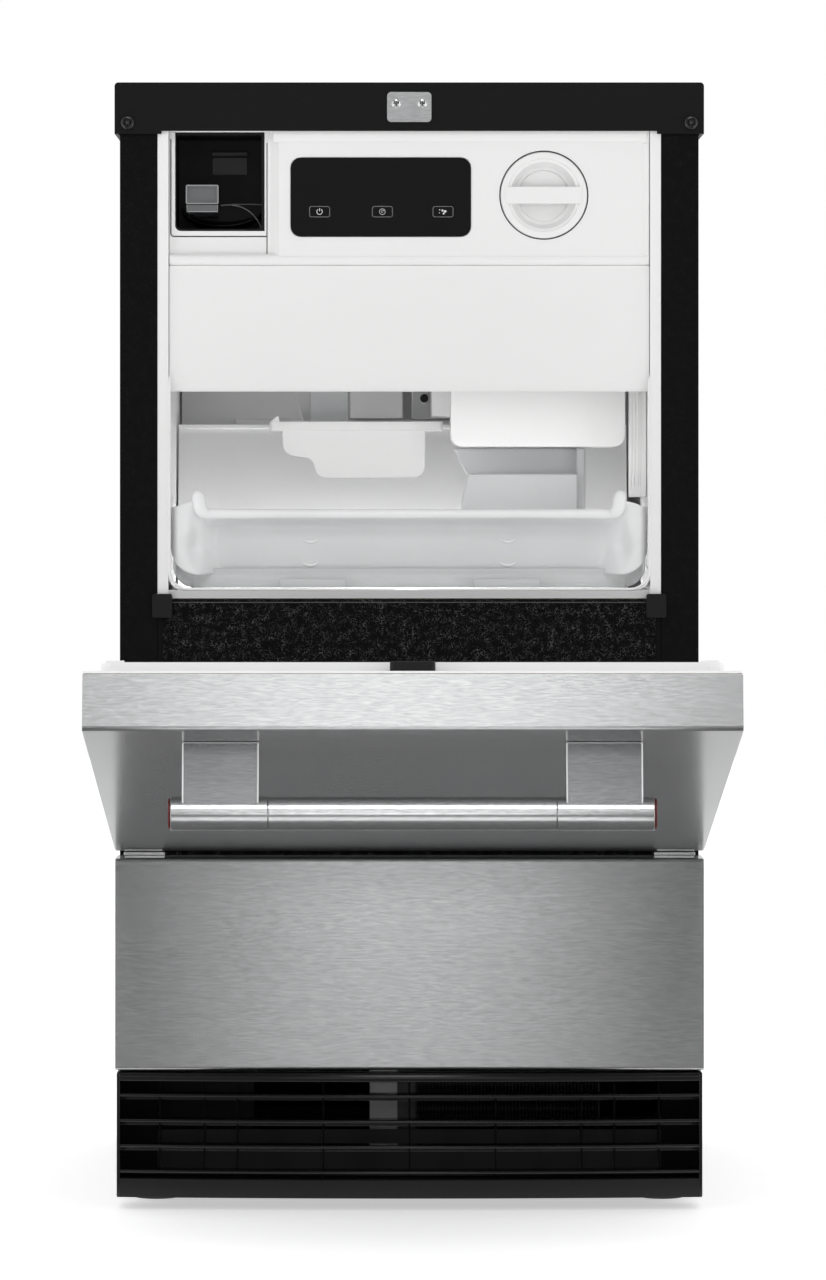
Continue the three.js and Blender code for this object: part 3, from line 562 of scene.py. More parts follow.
def stage():
    """Pale floor, and grey flags in front that only the steel's reflections see."""
    pale = moulded("floor_pale", (0.9, 0.9, 0.9), 0.8, 0.00001, 0.004,
                   Emission_Color=(1, 1, 1, 1), Emission_Strength=0.5)
    card("floor", -9.0, 9.0, -9.0, 9.0, 0.0, pale)
    side, gap, reach = 0.7, 0.2, 8.8
    flags = {"near": (0.24, -side, side, -0.86, -0.12), "far": (0.1, -side, side, -reach, -1.4),
             "left": (0.1, -side, -gap, -1.4, -0.86), "right": (0.1, gap, side, -1.4, -0.86)}
    for name, (tone, x0, x1, y0, y1) in flags.items():
        grey = moulded("flag_grey_" + name, (tone, tone, tone), 0.9, 0.00001)
        flag = card("flag_" + name, x0, x1, y0, y1, 0.004, grey)
        flag.visible_camera = False
        flag.visible_diffuse = False
        flag.visible_shadow = False
        flag.visible_transmission = False


# ---------- dressing the carried-over nodes ----------


def dress_nodes():
    plain = {
        "black_paint": [("top_cap", 0.0012)],
        "side_black": [("cabinet_wrapper", 0.0006)],
        "black_grain": [("chin_panel", 0.0005)],
        "black_plastic": [("corner_block_left", 0.0006), ("corner_block_right", 0.0006),
                          ("door_latch", 0.0005), ("scoop_holder", 0.0008), ("fan_blade", 0.0004)],
        "bay_grey": [("fan_shroud", 0.0004)],
        "screw_black": [("cap_screw_left", 0.0002), ("cap_screw_right", 0.0002)],
        "gloss_black": [("toe_grille", 0)],
        "overlay_black": [("control_overlay", 0.0003), ("button_power", 0.0003), ("button_clean", 0.0003),
                          ("button_max_ice", 0.0003)],
        "white_plastic": [("bin_liner", 0.0012), ("control_housing", 0.0012), ("evaporator_cover", 0.0008),
                          ("water_pan", 0.0012), ("pump_housing", 0.002), ("wall_rail", 0.0006),
                          ("filter_cap", 0.0006), ("filter_cartridge", 0.0006), ("door_liner", 0.001),
                          ("cutter_grid", 0)],
        "milky_plastic": [("bin_baffle", 0.0006), ("sump_body", 0.0015), ("pan_bracket", 0.0004)],
        "smoky_plastic": [("ice_scoop", 0.0006)],
        "grey_plastic": [("bin_sensor", 0.0004)],
        "pale_grey": [("ice_deflector", 0.0004)],
        "stainless": [("door_skin", 0.0004), ("lower_front_panel", 0.0012)],
        "satin_steel": [("strike_plate", 0.0004)],
        "bright_steel": [("handle_grip", 0.0004), ("handle_end_left", 0.0008),
                         ("handle_end_right", 0.0008), ("hinge_bracket_left", 0.0003),
                         ("hinge_bracket_right", 0.0003), ("hinge_pin_left", 0.0003),
                         ("hinge_pin_right", 0.0003), ("hinge_leaf_left", 0.0004),
                         ("hinge_leaf_right", 0.0004), ("evaporator_plate", 0)],
        "zinc": [("back_panel", 0), ("fan_motor", 0.0006)],
        "red_ring": [("handle_cap_left", 0.0004), ("handle_cap_right", 0.0004)],
        "gasket": [("door_gasket", 0.001)],
        "foam": [("cabinet_foam", 0), ("door_foam", 0)],
        # base_pan takes this dark metal instead of zinc so the bay behind the grille reads dark: painted
        # shade.
        "dark_metal": [("compressor", 0.0015), ("base_pan", 0.0004), ("wiring_box", 0.001),
                       ("leg_front_left", 0.0004), ("leg_front_right", 0.0004), ("leg_rear_left", 0.0004),
                       ("leg_rear_right", 0.0004)],
        "coil": [("condenser", 0)],
    }
    for material, nodes in plain.items():
        for node, bevel in nodes:
            dress(node, material, bevel)


# ---------- fine pieces: bin ----------

RIM_Z = 531.8
RIM_HALF = 146.0
EAR_X = 163.4
EAR_TOP = 546.6
EAR_LOW = 542.5
LOBE_HALF = 183.6
FACE_LOW = 481.5


def baffle_top(a):
    """Height of the baffle's top edge at a distance a from its middle."""
    if a < EAR_X:
        return RIM_Z - 3.5 + (EAR_LOW - RIM_Z) * smooth_step(RIM_HALF, EAR_X, a) ** 1.6
    fall = smooth_step(EAR_X, 169.5, a)
    shoulder = 537.4 - 4.0 * smooth_step(169.5, LOBE_HALF, a)
    return (EAR_LOW - 3.5) * (1 - fall) + shoulder * fall


def baffle_low(a):
    t = min(1.0, max(0.0, (a - 163.0) / (LOBE_HALF - 163.0)))
    return FACE_LOW + 20.0 * (1 - math.sqrt(max(0.0, 1 - t * t)))


def baffle_depth(a, t):
    """Depth of the face behind the mouth: set back in the middle, with a lobe forward at both ends."""
    middle = 26.0 - 3.0 * t - 12.0 * smooth_step(0.78, 1.0, t)
    lobe = 4.0 + 6.0 * abs(t - 0.6) ** 1.5
    crease = 5.0 * math.exp(-(((a - 164.0) / 3.6) ** 2)) * math.sin(math.pi * min(1.0, t * 1.02)) ** 0.7
    dent = 6.0 * math.exp(-(((a - 167.0) / 6.0) ** 2) - ((t - 0.36) / 0.16) ** 2)
    curl = 13.0 * max(0.0, (a - 178.0) / 5.6) ** 2.2
    w = smooth_step(143.0, 166.0, a - 10.0 * (1 - t) * smooth_step(0.0, 0.5, t))
    return middle * (1 - w) + (lobe + curl) * w + crease + dent


def baffle_face(bm):
    columns = [LOBE_HALF * math.sin(math.pi / 2 * i / 34) for i in range(-34, 35)]
    rings = []
    for x in columns:
        low, top = baffle_low(abs(x)), baffle_top(abs(x))
        heights = [k / 18 for k in range(19)]
        rings.append([(x, baffle_depth(abs(x), t), low + (top - low) * t) for t in heights])
    skin(bm, rings, closed=False)


def baffle_rim(bm):
    """Rolled rim along the top edge, which turns up into a round finger at each end."""
    flat = [(-u, RIM_Z - 3.7) for u in (148, 120, 80, 40, 0, -40, -80, -120, -148)]
    turn = arc(-154.0, RIM_Z + 3.3, 7.0, 270, 195, 6)
    tip = [(-161.4, 537.2), (-162.0, 540.6), (-162.2, 543.4), (-162.3, 545.4), (-162.4, EAR_TOP)]
    left = list(reversed(turn + tip))
    path = left + flat[1:-1] + [(-u, v) for u, v in reversed(left)]
    dome = {540.6: 5.3, 543.4: 4.7, 545.4: 3.1, EAR_TOP: 1.0}
    radii = [dome.get(v, 3.7 + 1.7 * smooth_step(150, 161.4, abs(u))) for u, v in path]
    tube(bm, [(u, 9.0 - 3.5 * smooth_step(150, 162, abs(u)), v) for u, v in path], radii, 14)


def baffle_foot(bm):
    """Undercut band below the face, with its two tabs."""
    prism(bm, "x", [(24, 471.2), (26.5, 471.2), (23, 486), (20.5, 486)], -168, 168)
    for x in (-74, 75):
        prism(bm, "y", rounded(x - 25, x + 25, 471.3, 477.8, 1.2, 3), 13, 26)


def baffle_corners(bm):
    """The band's two ends, which curve forward to the face and round the mouth's corners."""
    start, reach, depth, rise = 166, 15.5, 15, 16.0
    low_z, top_z, steps, rows = 471.2, 500, 8, 3
    for side in (-1, 1):
        rings = []
        for k in range(steps + 1):
            turn = math.pi / 2 * k / steps
            out = reach * math.sin(turn)
            x, y = side * (start + out), 9 + depth * math.cos(turn)
            low = low_z + rise - math.sqrt(rise ** 2 - out ** 2)
            rings.append([(x, y, low + (top_z - low) * t / rows) for t in range(rows + 1)])
        skin(bm, rings, closed=False)


# Thin crescents in the lighter milky copy: painted highlights along the face's dimples.
def baffle_dimples(bm):
    for x in (-76, 76):
        for z in (506.5, 488.5):
            depth = baffle_depth(abs(x), (z - FACE_LOW) / (RIM_Z - FACE_LOW))
            bend = [(-6.5 + 13 * k / 12) for k in range(13)]
            path = [(x + u, depth - 0.5, z + 2.4 * (u / 6.5) ** 2) for u in bend]
            tube(bm, path, [0.35 + 1.0 * (1 - (u / 6.6) ** 2) for u in bend], 8)


def bin_baffle():
    body = "bin_baffle"
    piece("baffle_face", baffle_face, "milky_painted_lit_lobes", body, replaces=["bin_baffle"],
          shell=2.2, subsurf=1)
    piece("baffle_rim", baffle_rim, "milky_painted_highlight", body, subsurf=1)
    piece("baffle_foot", baffle_foot, "milky_plastic", body, bevel=0.6)
    piece("baffle_corners", baffle_corners, "milky_plastic", body, shell=2.0, subsurf=1)
    piece("baffle_dimples", baffle_dimples, "milky_painted_highlight", body, subsurf=1)


def mouth_bead(bm):
    """Thin bead round the lower edge of the bin mouth, with a small notch at its middle."""
    half, sill, r = 183.9, 470.4, 14.6
    left = [(-half, z) for z in (640, 600, 560, 520, 490)] + arc(-half + r, sill + r, r, 180, 270, 10)
    notch = [(-12, sill), (-6, sill - 1.2), (-2, sill - 3.2), (2, sill - 1.2), (8, sill)]
    right = [(-u, v) for u, v in reversed(left)]
    tube(bm, [(u, -0.6, v) for u, v in left + notch + right], 1.05, 10)


def mouth_fillets(bm):
    """Fills the mouth's lower corners out to the bead's radius."""
    half, sill, r = 184.9, 469.6, 15.0
    for side in (-1, 1):
        curve = arc(-half + r, sill + r, r, 180, 270, 10)
        prism(bm, "y", [(u * -side, v) for u, v in curve + [(-half, sill)]], 0.0, 2.6)


def sill_strip(bm):
    """Lower flange of the liner, leaning forward at the top, in a darker grey than the liner: painted shade.
    """
    prism(bm, "x", [(-2.2, 469.4), (0, 469.6), (0, 463.5), (-0.4, 463.4)], -184, 184)


def bin_trim():
    piece("mouth_bead", mouth_bead, "white_plastic", subsurf=1)
    piece("mouth_fillets", mouth_fillets, "white_plastic", bevel=0.2)
    piece("sill_strip", sill_strip, "sill_painted_shade", bevel=0.3)


def cover_shell(bm):
    """Evaporator cover: drawn back under the brow of the housing, then gently convex."""
    x0, x1, _, _, z0, z1 = edges("evaporator_cover")
    front = [(4.6, 1.0), (4.2, 0.985), (3.9, 0.94), (3.6, 0.86), (3.3, 0.7), (3.2, 0.5), (3.2, 0.3),
             (3.7, 0.1), (4.6, 0.03), (6.5, 0.0)]
    profile = [(y, z0 + (z1 - z0) * t) for y, t in front]
    inside = [(y + 2.6, z0 + (z1 - z0) * (0.02 + 0.96 * t)) for y, t in reversed(front)]
    prism(bm, "x", profile + inside, x0, x1)
    for a in (x0, x1 - 2.4):
        prism(bm, "x", [(7.5, z0 + 1), (14, z1 - 0.5), (40, z1 - 0.5), (40, z0 + 1)], a, a + 2.4)


def pan_body(bm):
    """Water pan: a shallow left half and a deep right half, hollow, with an outward rim."""
    x0, x1, y0, y1, _, _ = edges("water_pan")
    shape = ([(-99, 594)] + arc(-90, 582, 8.5, 185, 262, 5) + [(-80, 572.2)]
             + arc(-81.5, 564.6, 7.6, 60, 5, 3) + arc(-65.2, 564.8, 8.5, 190, 268, 6)
             + arc(4.2, 564.8, 8.5, 272, 352, 6) + [(13.2, 594)])
    rings = [[(u, w, v) for u, v in shape] for w in (y0 + 1.5, y1 - 1.5)]
    rows = skin(bm, rings, closed=False)
    for row in rows:
        bm.faces.new(row)


def pan_rim(bm):
    _, _, y0, y1, _, _ = edges("water_pan")
    outer = rounded(-108.7, 26.5, y0, y1, 3, 4)
    inner = rounded(-98, 12.5, y0 + 3, y1 - 3, 3, 4)
    rings = [[(u, v, w) for u, v in loop] for loop, w in
             ((inner, 592.9), (outer, 592.9), (outer, 600.1), (inner, 600.1))]
    skin(bm, rings + [rings[0]], caps=False)
    bmesh.ops.remove_doubles(bm, verts=bm.verts, dist=0.001)
    prism(bm, "y", [(-108.4, 599.6), (-103, 604.6), (-101.4, 604.2), (-101, 599.6)], y0 + 0.4, y0 + 5)


def sump_shape(bm):
    """Set-back neck under the pump housing above a block that stands forward."""
    _, _, y0, y1, z0, z1 = edges("sump_body")
    prism(bm, "y", [(35, z1), (46.5, 557), (134, 557), (134, z1)], y0 + 30, y1)
    lower = [(46.2, 559)] + arc(54, 536, 12.5, 165, 190, 4) + [(40.6, z0), (131.8, z0), (131.8, 559)]
    prism(bm, "y", lower, y0, y1 - 0.5)
    block(bm, 131, 138, y0 + 10, y1 - 1, z0, z1 - 0.2)


def rear_ledges(bm):
    """Frames and ledges on the rear wall of the bin, above the deflector, with a grey sheet across it:
    painted shade on the white rear wall.
    """
    block(bm, -183.6, 183.6, 300, 303, 560, 690)
    block(bm, -140, 60, 292, 299.5, 596, 604.5)
    for x0, x1 in ((-47, -4), (3, 40)):
        block(bm, x0, x1, 280, 292, 604.5, 640)
    prism(bm, "y", [(-95, 640), (-77.5, 640), (-77.5, 600), (-83, 600)], 152, 155)


def rail_ribs(bm):
    x0, _, y0, _, z0, z1 = edges("wall_rail")
    for x in (x0 + 2.2, x0 + 4.6, x0 + 7.6, x0 + 9.2):
        tube(bm, [(x, y0 - 0.1, z0 + 1), (x, y0 - 0.1, 640), (x, y0 - 0.1, z1 - 1)], 0.6, 8)


def sensor_screw(bm):
    rod(bm, "y", 12.4, 619, 146.6, 149, 3.3)
    rod(bm, "y", 12.4, 619, 145.9, 147, 1.6)


def bin_inside():
    piece("evaporator_hood", cover_shell, "white_plastic", "evaporator_cover",
          replaces=["evaporator_cover"], bevel=0.5)
    piece("pan_body", pan_body, "white_plastic", replaces=["water_pan"], shell=2.0, bevel=2.2, segments=4)
    piece("pan_rim", pan_rim, "white_plastic", bevel=1.2)
    piece("sump_shape", sump_shape, "milky_plastic", replaces=["sump_body"], bevel=1.6, segments=4)
    piece("rear_ledges", rear_ledges, "wall_grey_painted_shade", bevel=1.0)
    piece("rail_ribs", rail_ribs, "white_plastic", subsurf=1)
    piece("sensor_screw", sensor_screw, "dark_metal", bevel=0.4)


# ---------- fine pieces: control housing ----------


def housing_brow(bm):
    """Raised strips that give the housing its stepped top and right-hand edges."""
    x0, x1, _, _, _, z1 = edges("control_housing")
    prism(bm, "x", [(2.3, 813), (0.9, 818.6), (0.9, z1 - 1.6), (2.3, z1 - 0.6)], x0 + 80, x1 - 2)
    prism(bm, "z", [(178.4, 2.3), (180.8, 1.0), (x1 - 0.6, 1.0), (x1, 2.3)], 726.6, 812.4)
    prism(bm, "z", [(-109.2, 8.3), (-108.6, 6.9), (-106.8, 6.9), (-106.2, 8.3)], 727, z1 - 2)


def housing_lip(bm):
    """Rolled lower lip of the housing."""
    x0, x1, _, _, z0, _ = edges("control_housing")
    y, z, r = 5.4, z0 + 3.9, 4.4
    tube(bm, [(x0 + 0.4, y, z), (0, y, z), (x1 - 0.4, y, z)], r, 20)


def pocket_frame(bm):
    """White frame strip round the left side and bottom of the scoop pocket."""
    x0, x1, _, _, z0, z1 = edges("scoop_holder")
    outer = [(x0 - 1.6, z1)] + arc(x0 + 1.4, z0 - 0.2, 3, 180, 270, 5) + [(x1 + 1.5, z0 - 3.2)]
    inner = [(x0 + 1.2, z1)] + arc(x0 + 5.6, z0 + 4.8, 4.4, 180, 270, 5) + [(x1 + 1.5, z0 + 0.4)]
    prism(bm, "y", outer + list(reversed(inner)), 7.2, 9.0)


def pocket_seam(bm):
    x0, x1, _, _, z0, z1 = edges("scoop_holder")
    path = [(x0 - 2.2, z1 - 5)] + arc(x0 + 0.4, z0 - 1.2, 2.6, 180, 270, 5) + [(x1 + 2, z0 - 3.8)]
    tube(bm, [(u, 7.9, v) for u, v in path], 0.38, 8)
    tube(bm, [(x1 + 2.1, 7.9, z1 - 8), (x1 + 2.1, 7.9, 770), (x1 + 2.1, 7.9, 728)], 0.3, 8)


def pocket_catch(bm):
    """Ledge and shallow window on the pocket's rear wall, which hold the scoop."""
    _, _, _, y1, _, _ = edges("scoop_holder")
    block(bm, -153, -126, y1 - 6, y1 - 1.5, 806.8, 809.6)
    prism(bm, "y", rounded(-153, -126, 792, 805.5, 1.2, 3), y1 - 3, y1 - 1.6)


def scoop_handle(bm):
    """Hollow grip that looks out of the pocket, with a folded lower edge."""
    outer = rounded(-171.6, -146.8, 766.6, 781, 0.8, 3)
    inner = rounded(-169.6, -148.8, 768.4, 779.2, 0.5, 3)
    rings = [[(u, w, v) for u, v in loop] for loop, w in
             ((outer, 44), (outer, 13), (outer, 11.8), (inner, 11.8), (inner, 12.6), (inner, 13))]
    skin(bm, rings)
    prism(bm, "x", [(13.6, 760.4), (15.2, 760.4), (50, 757), (50, 766), (13.6, 766)], -171.2, -147.2)


def scoop_edge_highlights(bm):
    """Lighter tubes round the grip's front and along its fold: painted highlights on its edges."""
    loop = rounded(-171.4, -147.0, 766.8, 780.8, 0.8, 3)
    tube(bm, [(u, 11.7, v) for u, v in loop + loop[:1]], 0.42, 6)
    fold = [(-171.0, 765.8), (-171.0, 760.6), (-147.4, 760.6), (-147.4, 765.8)]
    tube(bm, [(u, 13.4, v) for u, v in fold], 0.36, 6)


def scoop_bowl(bm):
    """Scoop bowl: a trough lying behind the grip."""
    rows = []
    for k in range(17):
        t = k / 16
        section = []
        for i in range(21):
            angle = math.pi * (1 + i / 20)
            u = -144.5 + 31.0 * math.cos(angle)
            v = 766.5 + 18.0 * math.sin(angle) * math.sin(math.pi * min(1.0, 0.3 + 0.5 * t))
            section.append((u, 48 + 30 * t, v))
        rows.append(section)
    skin(bm, rows, closed=False)


def scoop_lips(bm):
    """The bowl's side edge, level behind the grip, and its front lip, which sweeps down to the right."""
    tube(bm, [(-145.5, 30, 766.0), (-135, 33, 767.0), (-124, 36, 767.2), (-113.4, 40, 767.0)], 0.55, 8)
    tube(bm, [(u, 24, v) for u, v in arc(-138, 741, 25, 88, 20, 14)], 0.45, 8)


def filter_dial(bm):
    """Flat outer ring, conical dish and inner disc, crossed by a grip bar."""
    x0, x1, _, _, z0, z1 = edges("filter_cap")
    x, z, r = (x0 + x1) / 2, (z0 + z1) / 2, (x1 - x0) / 2
    turned(bm, [(0.01, 15.0), (r - 2, 15.0), (r - 1.6, 6), (r, 5.2), (r, 1.8), (r - 0.8, 0.9), (r - 5, 0.7),
                (r - 5.5, 1.9), (r - 7.5, 2.8), (r - 7.9, 4.0), (23.0, 8.6), (22.4, 9.8), (19.9, 11.2),
                (19.2, 13.4), (0.01, 13.0)], x, 0.0, z)


def filter_bar(bm):
    x0, x1, _, _, z0, z1 = edges("filter_cap")
    x, z = (x0 + x1) / 2, (z0 + z1) / 2
    prism(bm, "y", rounded(x - 29.4, x + 29.4, z - 6.5, z + 6.5, 1.2, 3), 0.1, 11)


def filter_seam(bm):
    x0, x1, _, _, z0, z1 = edges("filter_cap")
    x, z, r = (x0 + x1) / 2, (z0 + z1) / 2, (x1 - x0) / 2 + 0.75
    loop = [[(px, y, pz) for px, pz in arc(x, z, q, 0, 360, 72)[:-1]]
            for q, y in ((r - 0.22, 1.75), (r + 0.22, 1.75), (r + 0.22, 2.6), (r - 0.22, 2.6))]
    skin(bm, loop + [loop[0]], caps=False)
    bmesh.ops.remove_doubles(bm, verts=bm.verts, dist=0.001)


def housing_pieces():
    piece("housing_brow", housing_brow, "white_plastic", bevel=0.4)
    piece("housing_lip", housing_lip, "white_plastic")
    piece("pocket_frame", pocket_frame, "white_plastic", bevel=0.3)
    piece("pocket_seam", pocket_seam, "black_plastic", smooth=60)
    piece("pocket_catch", pocket_catch, "catch_grey", bevel=0.4)
    piece("scoop_handle", scoop_handle, "smoky_plastic", "scoop", replaces=["ice_scoop"], bevel=0.35)
    piece("scoop_edge_highlights", scoop_edge_highlights, "scoop_highlight_grey", "scoop", smooth=60)
    piece("scoop_bowl", scoop_bowl, "black_plastic", "scoop", shell=1.6, subsurf=1)
    piece("scoop_lips", scoop_lips, "smoky_plastic", "scoop", smooth=60)
    piece("filter_dial", filter_dial, "white_plastic", "filter_cap", replaces=["filter_cap"], smooth=30)
    piece("filter_bar", filter_bar, "white_plastic", "filter_cap", bevel=0.6)
    piece("filter_seam", filter_seam, "black_plastic")


def button_centre(node):
    x0, x1, y0, _, z0, z1 = edges(node)
    return (x0 + x1) / 2, y0, (z0 + z1) / 2, (x1 - x0) / 2, (z1 - z0) / 2


def ring(bm, x, y, z, r, thick, start=0, end=360, n=28):
    tube(bm, [(u, y, v) for u, v in arc(x, z, r, start, end, n)], thick, 6)


def button_frame(node):
    def draw(bm):
        x, y, z, w, h = button_centre(node)
        loop = rounded(x - w + 0.5, x + w - 0.5, z - h + 0.5, z + h - 0.5, 1.6, 4)
        tube(bm, [(u, y - 0.02, v) for u, v in loop + loop[:1]], 0.27, 6)
    return draw


def power_sign(bm):
    x, y, z, _, _ = button_centre("button_power")
    ring(bm, x, y - 0.05, z, 2.1, 0.34, 125, 415)
    tube(bm, [(x, y - 0.05, z + 0.3), (x, y - 0.05, z + 2.6)], 0.34, 6)


def clean_sign(bm):
    x, y, z, _, _ = button_centre("button_clean")
    ring(bm, x, y - 0.05, z, 2.2, 0.22)
    ring(bm, x + 0.3, y - 0.05, z + 0.2, 1.0, 0.2, 0, 270)


def ice_sign(bm):
    x, y, z, _, _ = button_centre("button_max_ice")
    for u, v, r in ((-0.4, 0.9, 0.9), (1.6, 0.2, 1.1), (0.5, -1.4, 0.8), (-2.6, 1.4, 0.5), (-2.7, -0.9, 0.4)):
        prism(bm, "y", arc(x + u, z + v, r, 10, 370, 6)[:-1], y - 0.3, y + 0.2)


def button_pieces():
    signs = {"button_power": power_sign, "button_clean": clean_sign, "button_max_ice": ice_sign}
    for node, sign in signs.items():
        piece(node + "_frame", button_frame(node), "print_grey", node, smooth=60)
        piece(node + "_sign", sign, "print_white", node, smooth=60)


# ---------- fine pieces: cap, chin, door, grille ----------


def strike_screw(x):
    def draw(bm):
        _, _, y0, _, z0, z1 = edges("strike_plate")
        z = (z0 + z1) / 2 + 3.0
        profile = [(0.01, 0.6), (3.9, 0.6), (3.9, 0.1), (3.1, -0.7), (1.8, -1.0), (0.01, -1.0)]
        turned(bm, profile, x, y0, z, 28)
    return draw


# Dark cross on the screw head, drawn in front of it instead of a recess: painted shade of the cross recess.
def strike_cross_shade(x):
    def draw(bm):
        _, _, y0, _, z0, z1 = edges("strike_plate")
        z = (z0 + z1) / 2 + 3.0
        block(bm, x - 2.1, x + 2.1, y0 - 1.06, y0 - 0.5, z - 0.4, z + 0.4)
        block(bm, x - 0.4, x + 0.4, y0 - 1.07, y0 - 0.5, z - 2.1, z + 2.1)
    return draw


def cap_screw(node):
    """Pan head with a deep round recess and a star of six lobes at its bottom."""
    def draw(bm):
        x0, x1, y0, y1, z0, z1 = edges(node)
        x, z, r = (x0 + x1) / 2, (z0 + z1) / 2, (x1 - x0) / 2
        shank = [(0.01, y1 - y0), (1.7, y1 - y0), (1.7, 2.6)]
        head = [(r, 2.6), (r, 1.7), (r - 0.5, 0.8), (r - 1.5, 0.2), (r - 2.3, 0.2), (r - 2.7, 0.7)]
        recess = [(1.2, 1.9), (0.01, 1.9)]
        turned(bm, shank + head + recess, x, y0, z, 40)
    return draw


# Lighter lobes in the screw's recess: painted highlights where the star catches light.
def cap_screw_star_glints(node):
    def draw(bm):
        x0, x1, y0, _, z0, z1 = edges(node)
        x, z = (x0 + x1) / 2, (z0 + z1) / 2
        for k in range(3):
            t = math.radians(60 * k)
            u, v = 1.9 * math.cos(t), 1.9 * math.sin(t)
            tube(bm, [(x - u, y0 + 1.35, z - v), (x, y0 + 1.7, z), (x + u, y0 + 1.35, z + v)], 0.28, 6)
    return draw


def chin_groove_shade(bm):
    """Dark strips in the grooves between the front flange and the raised part of the chin: painted shade."""
    x0, x1, _, _, z0, z1 = edges("chin_panel")
    for side in (-1, 1):
        a, b = sorted((189.0 * side, 193.1 * side))
        block(bm, a, b, 1.0, 1.5, z0 + 0.5, z1 - 0.5)


# Rolled top edge of the chin, in a lighter black that paints its highlight line.
def chin_lip(bm):
    x0, x1, y0, _, _, z1 = edges("chin_panel")
    tube(bm, [(x0 + 12, y0 - 0.3, z1 - 2.4), (0, y0 - 0.3, z1 - 2.4), (x1 - 12, y0 - 0.3, z1 - 2.4)], 0.45, 8)


def front_trim():
    for name, x in (("left", -10), ("right", 10)):
        piece("strike_screw_" + name, strike_screw(x), "bright_steel")
        piece("strike_cross_shade_" + name, strike_cross_shade(x), "dark_metal", bevel=0.05)
        node = "cap_screw_" + name
        piece(node + "_head", cap_screw(node), "screw_gloss", replaces=[node], smooth=35)
        piece(node + "_star", cap_screw_star_glints(node), "catch_grey", smooth=60)
    piece("chin_lip", chin_lip, "lip_painted_glint", smooth=60)
    piece("chin_groove_shade", chin_groove_shade, "rib_black", bevel=0.1)


GRIP_Y = -103.5
GRIP_Z = 799.0
GRIP_R = 11.75


def handle_mount(side):
    """End sleeve of the handle bar."""
    def draw(bm):
        a, b = sorted((98.8 * side, 165.2 * side))
        rod(bm, "x", GRIP_Y, GRIP_Z, a, b, GRIP_R, 64)
    return draw


def handle_post(side):
    """Square post between the sleeve and the door's skin."""
    def draw(bm):
        a, b = sorted((105.0 * side, 157.5 * side))
        block(bm, a, b, GRIP_Y, -55.3, GRIP_Z - 10.3, GRIP_Z + 10.3)
    return draw


def handle_bar(bm):
    rod(bm, "x", GRIP_Y, GRIP_Z, -98.5, 98.5, GRIP_R - 0.15, 64)


def handle_pieces():
    piece("handle_bar", handle_bar, "handle_steel", "door",
          replaces=["handle_grip"], bevel=0.3)
    for name, side in (("left", -1), ("right", 1)):
        piece("handle_sleeve_" + name, handle_mount(side), "handle_steel", "door",
              replaces=["handle_end_" + name], bevel=0.5)
        post = piece("handle_post_" + name, handle_post(side), "post_steel", "door",
                     bevel=1.1)
        # The bevelled edges take the second material, a lighter one that paints highlight lines along the
        # post's edges.
        post.data.materials.append(MATS["painted_highlight_edge"])
        post.modifiers["edges"].material = 1


def grille_bow(x, half):
    return -12.0 * (1 - (x / half) ** 2)


def bowed_bar(bm, half, y0, y1, z0, z1, r, n=40):
    """Bar across the grille, bowed forward at the middle, with a rounded front edge."""
    front = arc(y0 + r, z1 - r, r, 90, 180, 4) + arc(y0 + r, z0 + r, r, 180, 270, 4)
    section = [(y1, z0), (y1, z1)] + front
    rings = []
    for i in range(n + 1):
        x = -half + 2 * half * i / n
        rings.append([(x, y + grille_bow(x, half), z) for y, z in section])
    skin(bm, rings)


def grille_slats(bm):
    half = edges("toe_grille")[1] - 0.4
    for z in (27.5, 46.8, 66.1, 85.4):
        bowed_bar(bm, half, -50, -30, z, z + 2.6, 1.2)
        bowed_bar(bm, half, -34, -30, z - 3.4, z + 1, 1.0)
    bowed_bar(bm, half, -50, -26, 97.2, 104, 1.6)


def grille_base(bm):
    half = edges("toe_grille")[1] - 0.2
    bowed_bar(bm, half, -50, -24, 9, 23.6, 1.4)


def grille_ribs(bm):
    half = edges("toe_grille")[1]
    for x in (-190, -156, -131, -65.5, 0, 65.5, 131, 156, 190):
        back = -30 + grille_bow(x, half)
        block(bm, x - 0.7, x + 0.7, back - 4, back + 10, 10, 103)


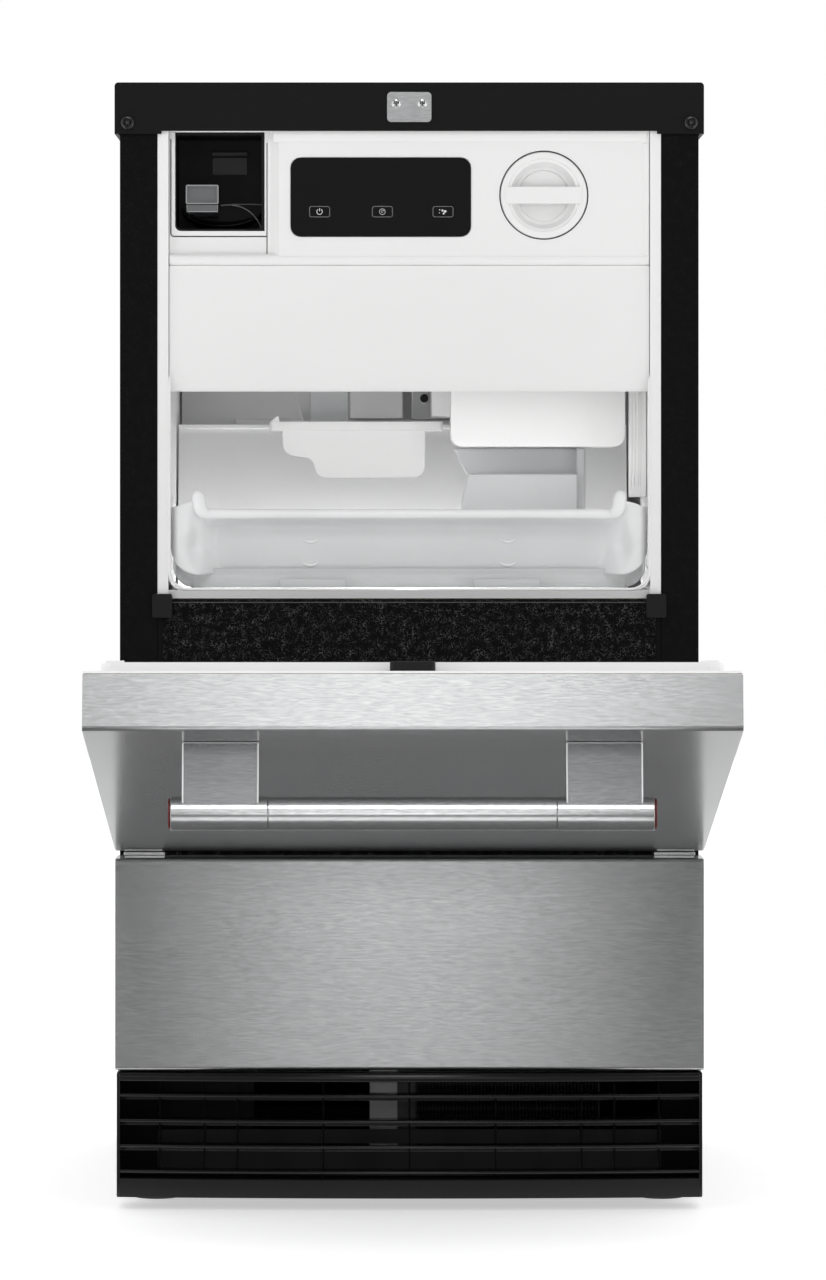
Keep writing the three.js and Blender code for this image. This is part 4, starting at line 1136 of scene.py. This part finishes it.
def grille_ends(bm):
    _, half, _, y1, z0, z1 = edges("toe_grille")
    for side in (-1, 1):
        a, b = sorted((side * (half - 2.6), side * (half + 0.1)))
        prism(bm, "z", [(a, -50.6), (b, -50.6), (b, y1), (a, y1)], z0 + 0.2, z1 - 0.2)


def coil_fins(bm):
    x0, x1, y0, y1, z0, z1 = edges("condenser")
    count = 53
    for i in range(count + 1):
        x = x0 + (x1 - x0) * i / count
        block(bm, x - 0.18, x + 0.18, y0 + 2, y1 - 2, z0 + 2, z1 - 2)


def coil_pipes(bm):
    x0, x1, y0, y1, z0, z1 = edges("condenser")
    for k in range(9):
        z = z0 + 12 + k * 19
        rod(bm, "x", (y0 + y1) / 2, z, x0 - 0.5, x1 + 0.5, 4.6, 16)
    for x in (x0, x1 - 1.2):
        block(bm, x, x + 1.2, y0, y1, z0, z1)


def bay_shade_screen(bm):
    """Dark plate just inside the rear louvres that keeps the bay behind the grille dark: painted shade."""
    block(bm, -156, 156, 541, 542.5, 58, 214)


def bay_plate(bm):
    """Bright sheet beside the condenser, seen between the slats."""
    block(bm, -30.5, -3, 58, 59.2, 50, 205)


def hinge_steps(bm):
    for side in (-1, 1):
        a, b = sorted((186.0 * side, 217.0 * side))
        block(bm, a, b, -50, -8, 268.9, 271.3)
        c, d = sorted((188.0 * side, 216.0 * side))
        prism(bm, "x", rounded(-49, -40, 271.5, 275.0, 1.0, 3), c, d)


def machine_front():
    piece("grille_slats", grille_slats, "gloss_black", replaces=["toe_grille"], smooth=40)
    piece("grille_base", grille_base, "satin_black", smooth=40)
    piece("grille_ribs", grille_ribs, "rib_black", bevel=0.2)
    piece("grille_ends", grille_ends, "gloss_black", bevel=0.9)
    piece("coil_fins", coil_fins, "coil", replaces=["condenser"])
    piece("coil_pipes", coil_pipes, "coil", smooth=50)
    piece("bay_shade_screen", bay_shade_screen, "rib_black", bevel=0.3)
    piece("bay_plate", bay_plate, "plate_grey", bevel=0.3)
    piece("hinge_steps", hinge_steps, "bright_steel", bevel=0.4)


# ---------- build ----------

camera()
studio()
stage()
dress_nodes()
bin_baffle()
bin_trim()
bin_inside()
housing_pieces()
button_pieces()
front_trim()
handle_pieces()
machine_front()
bpy.context.scene.view_settings.view_transform = "Standard"
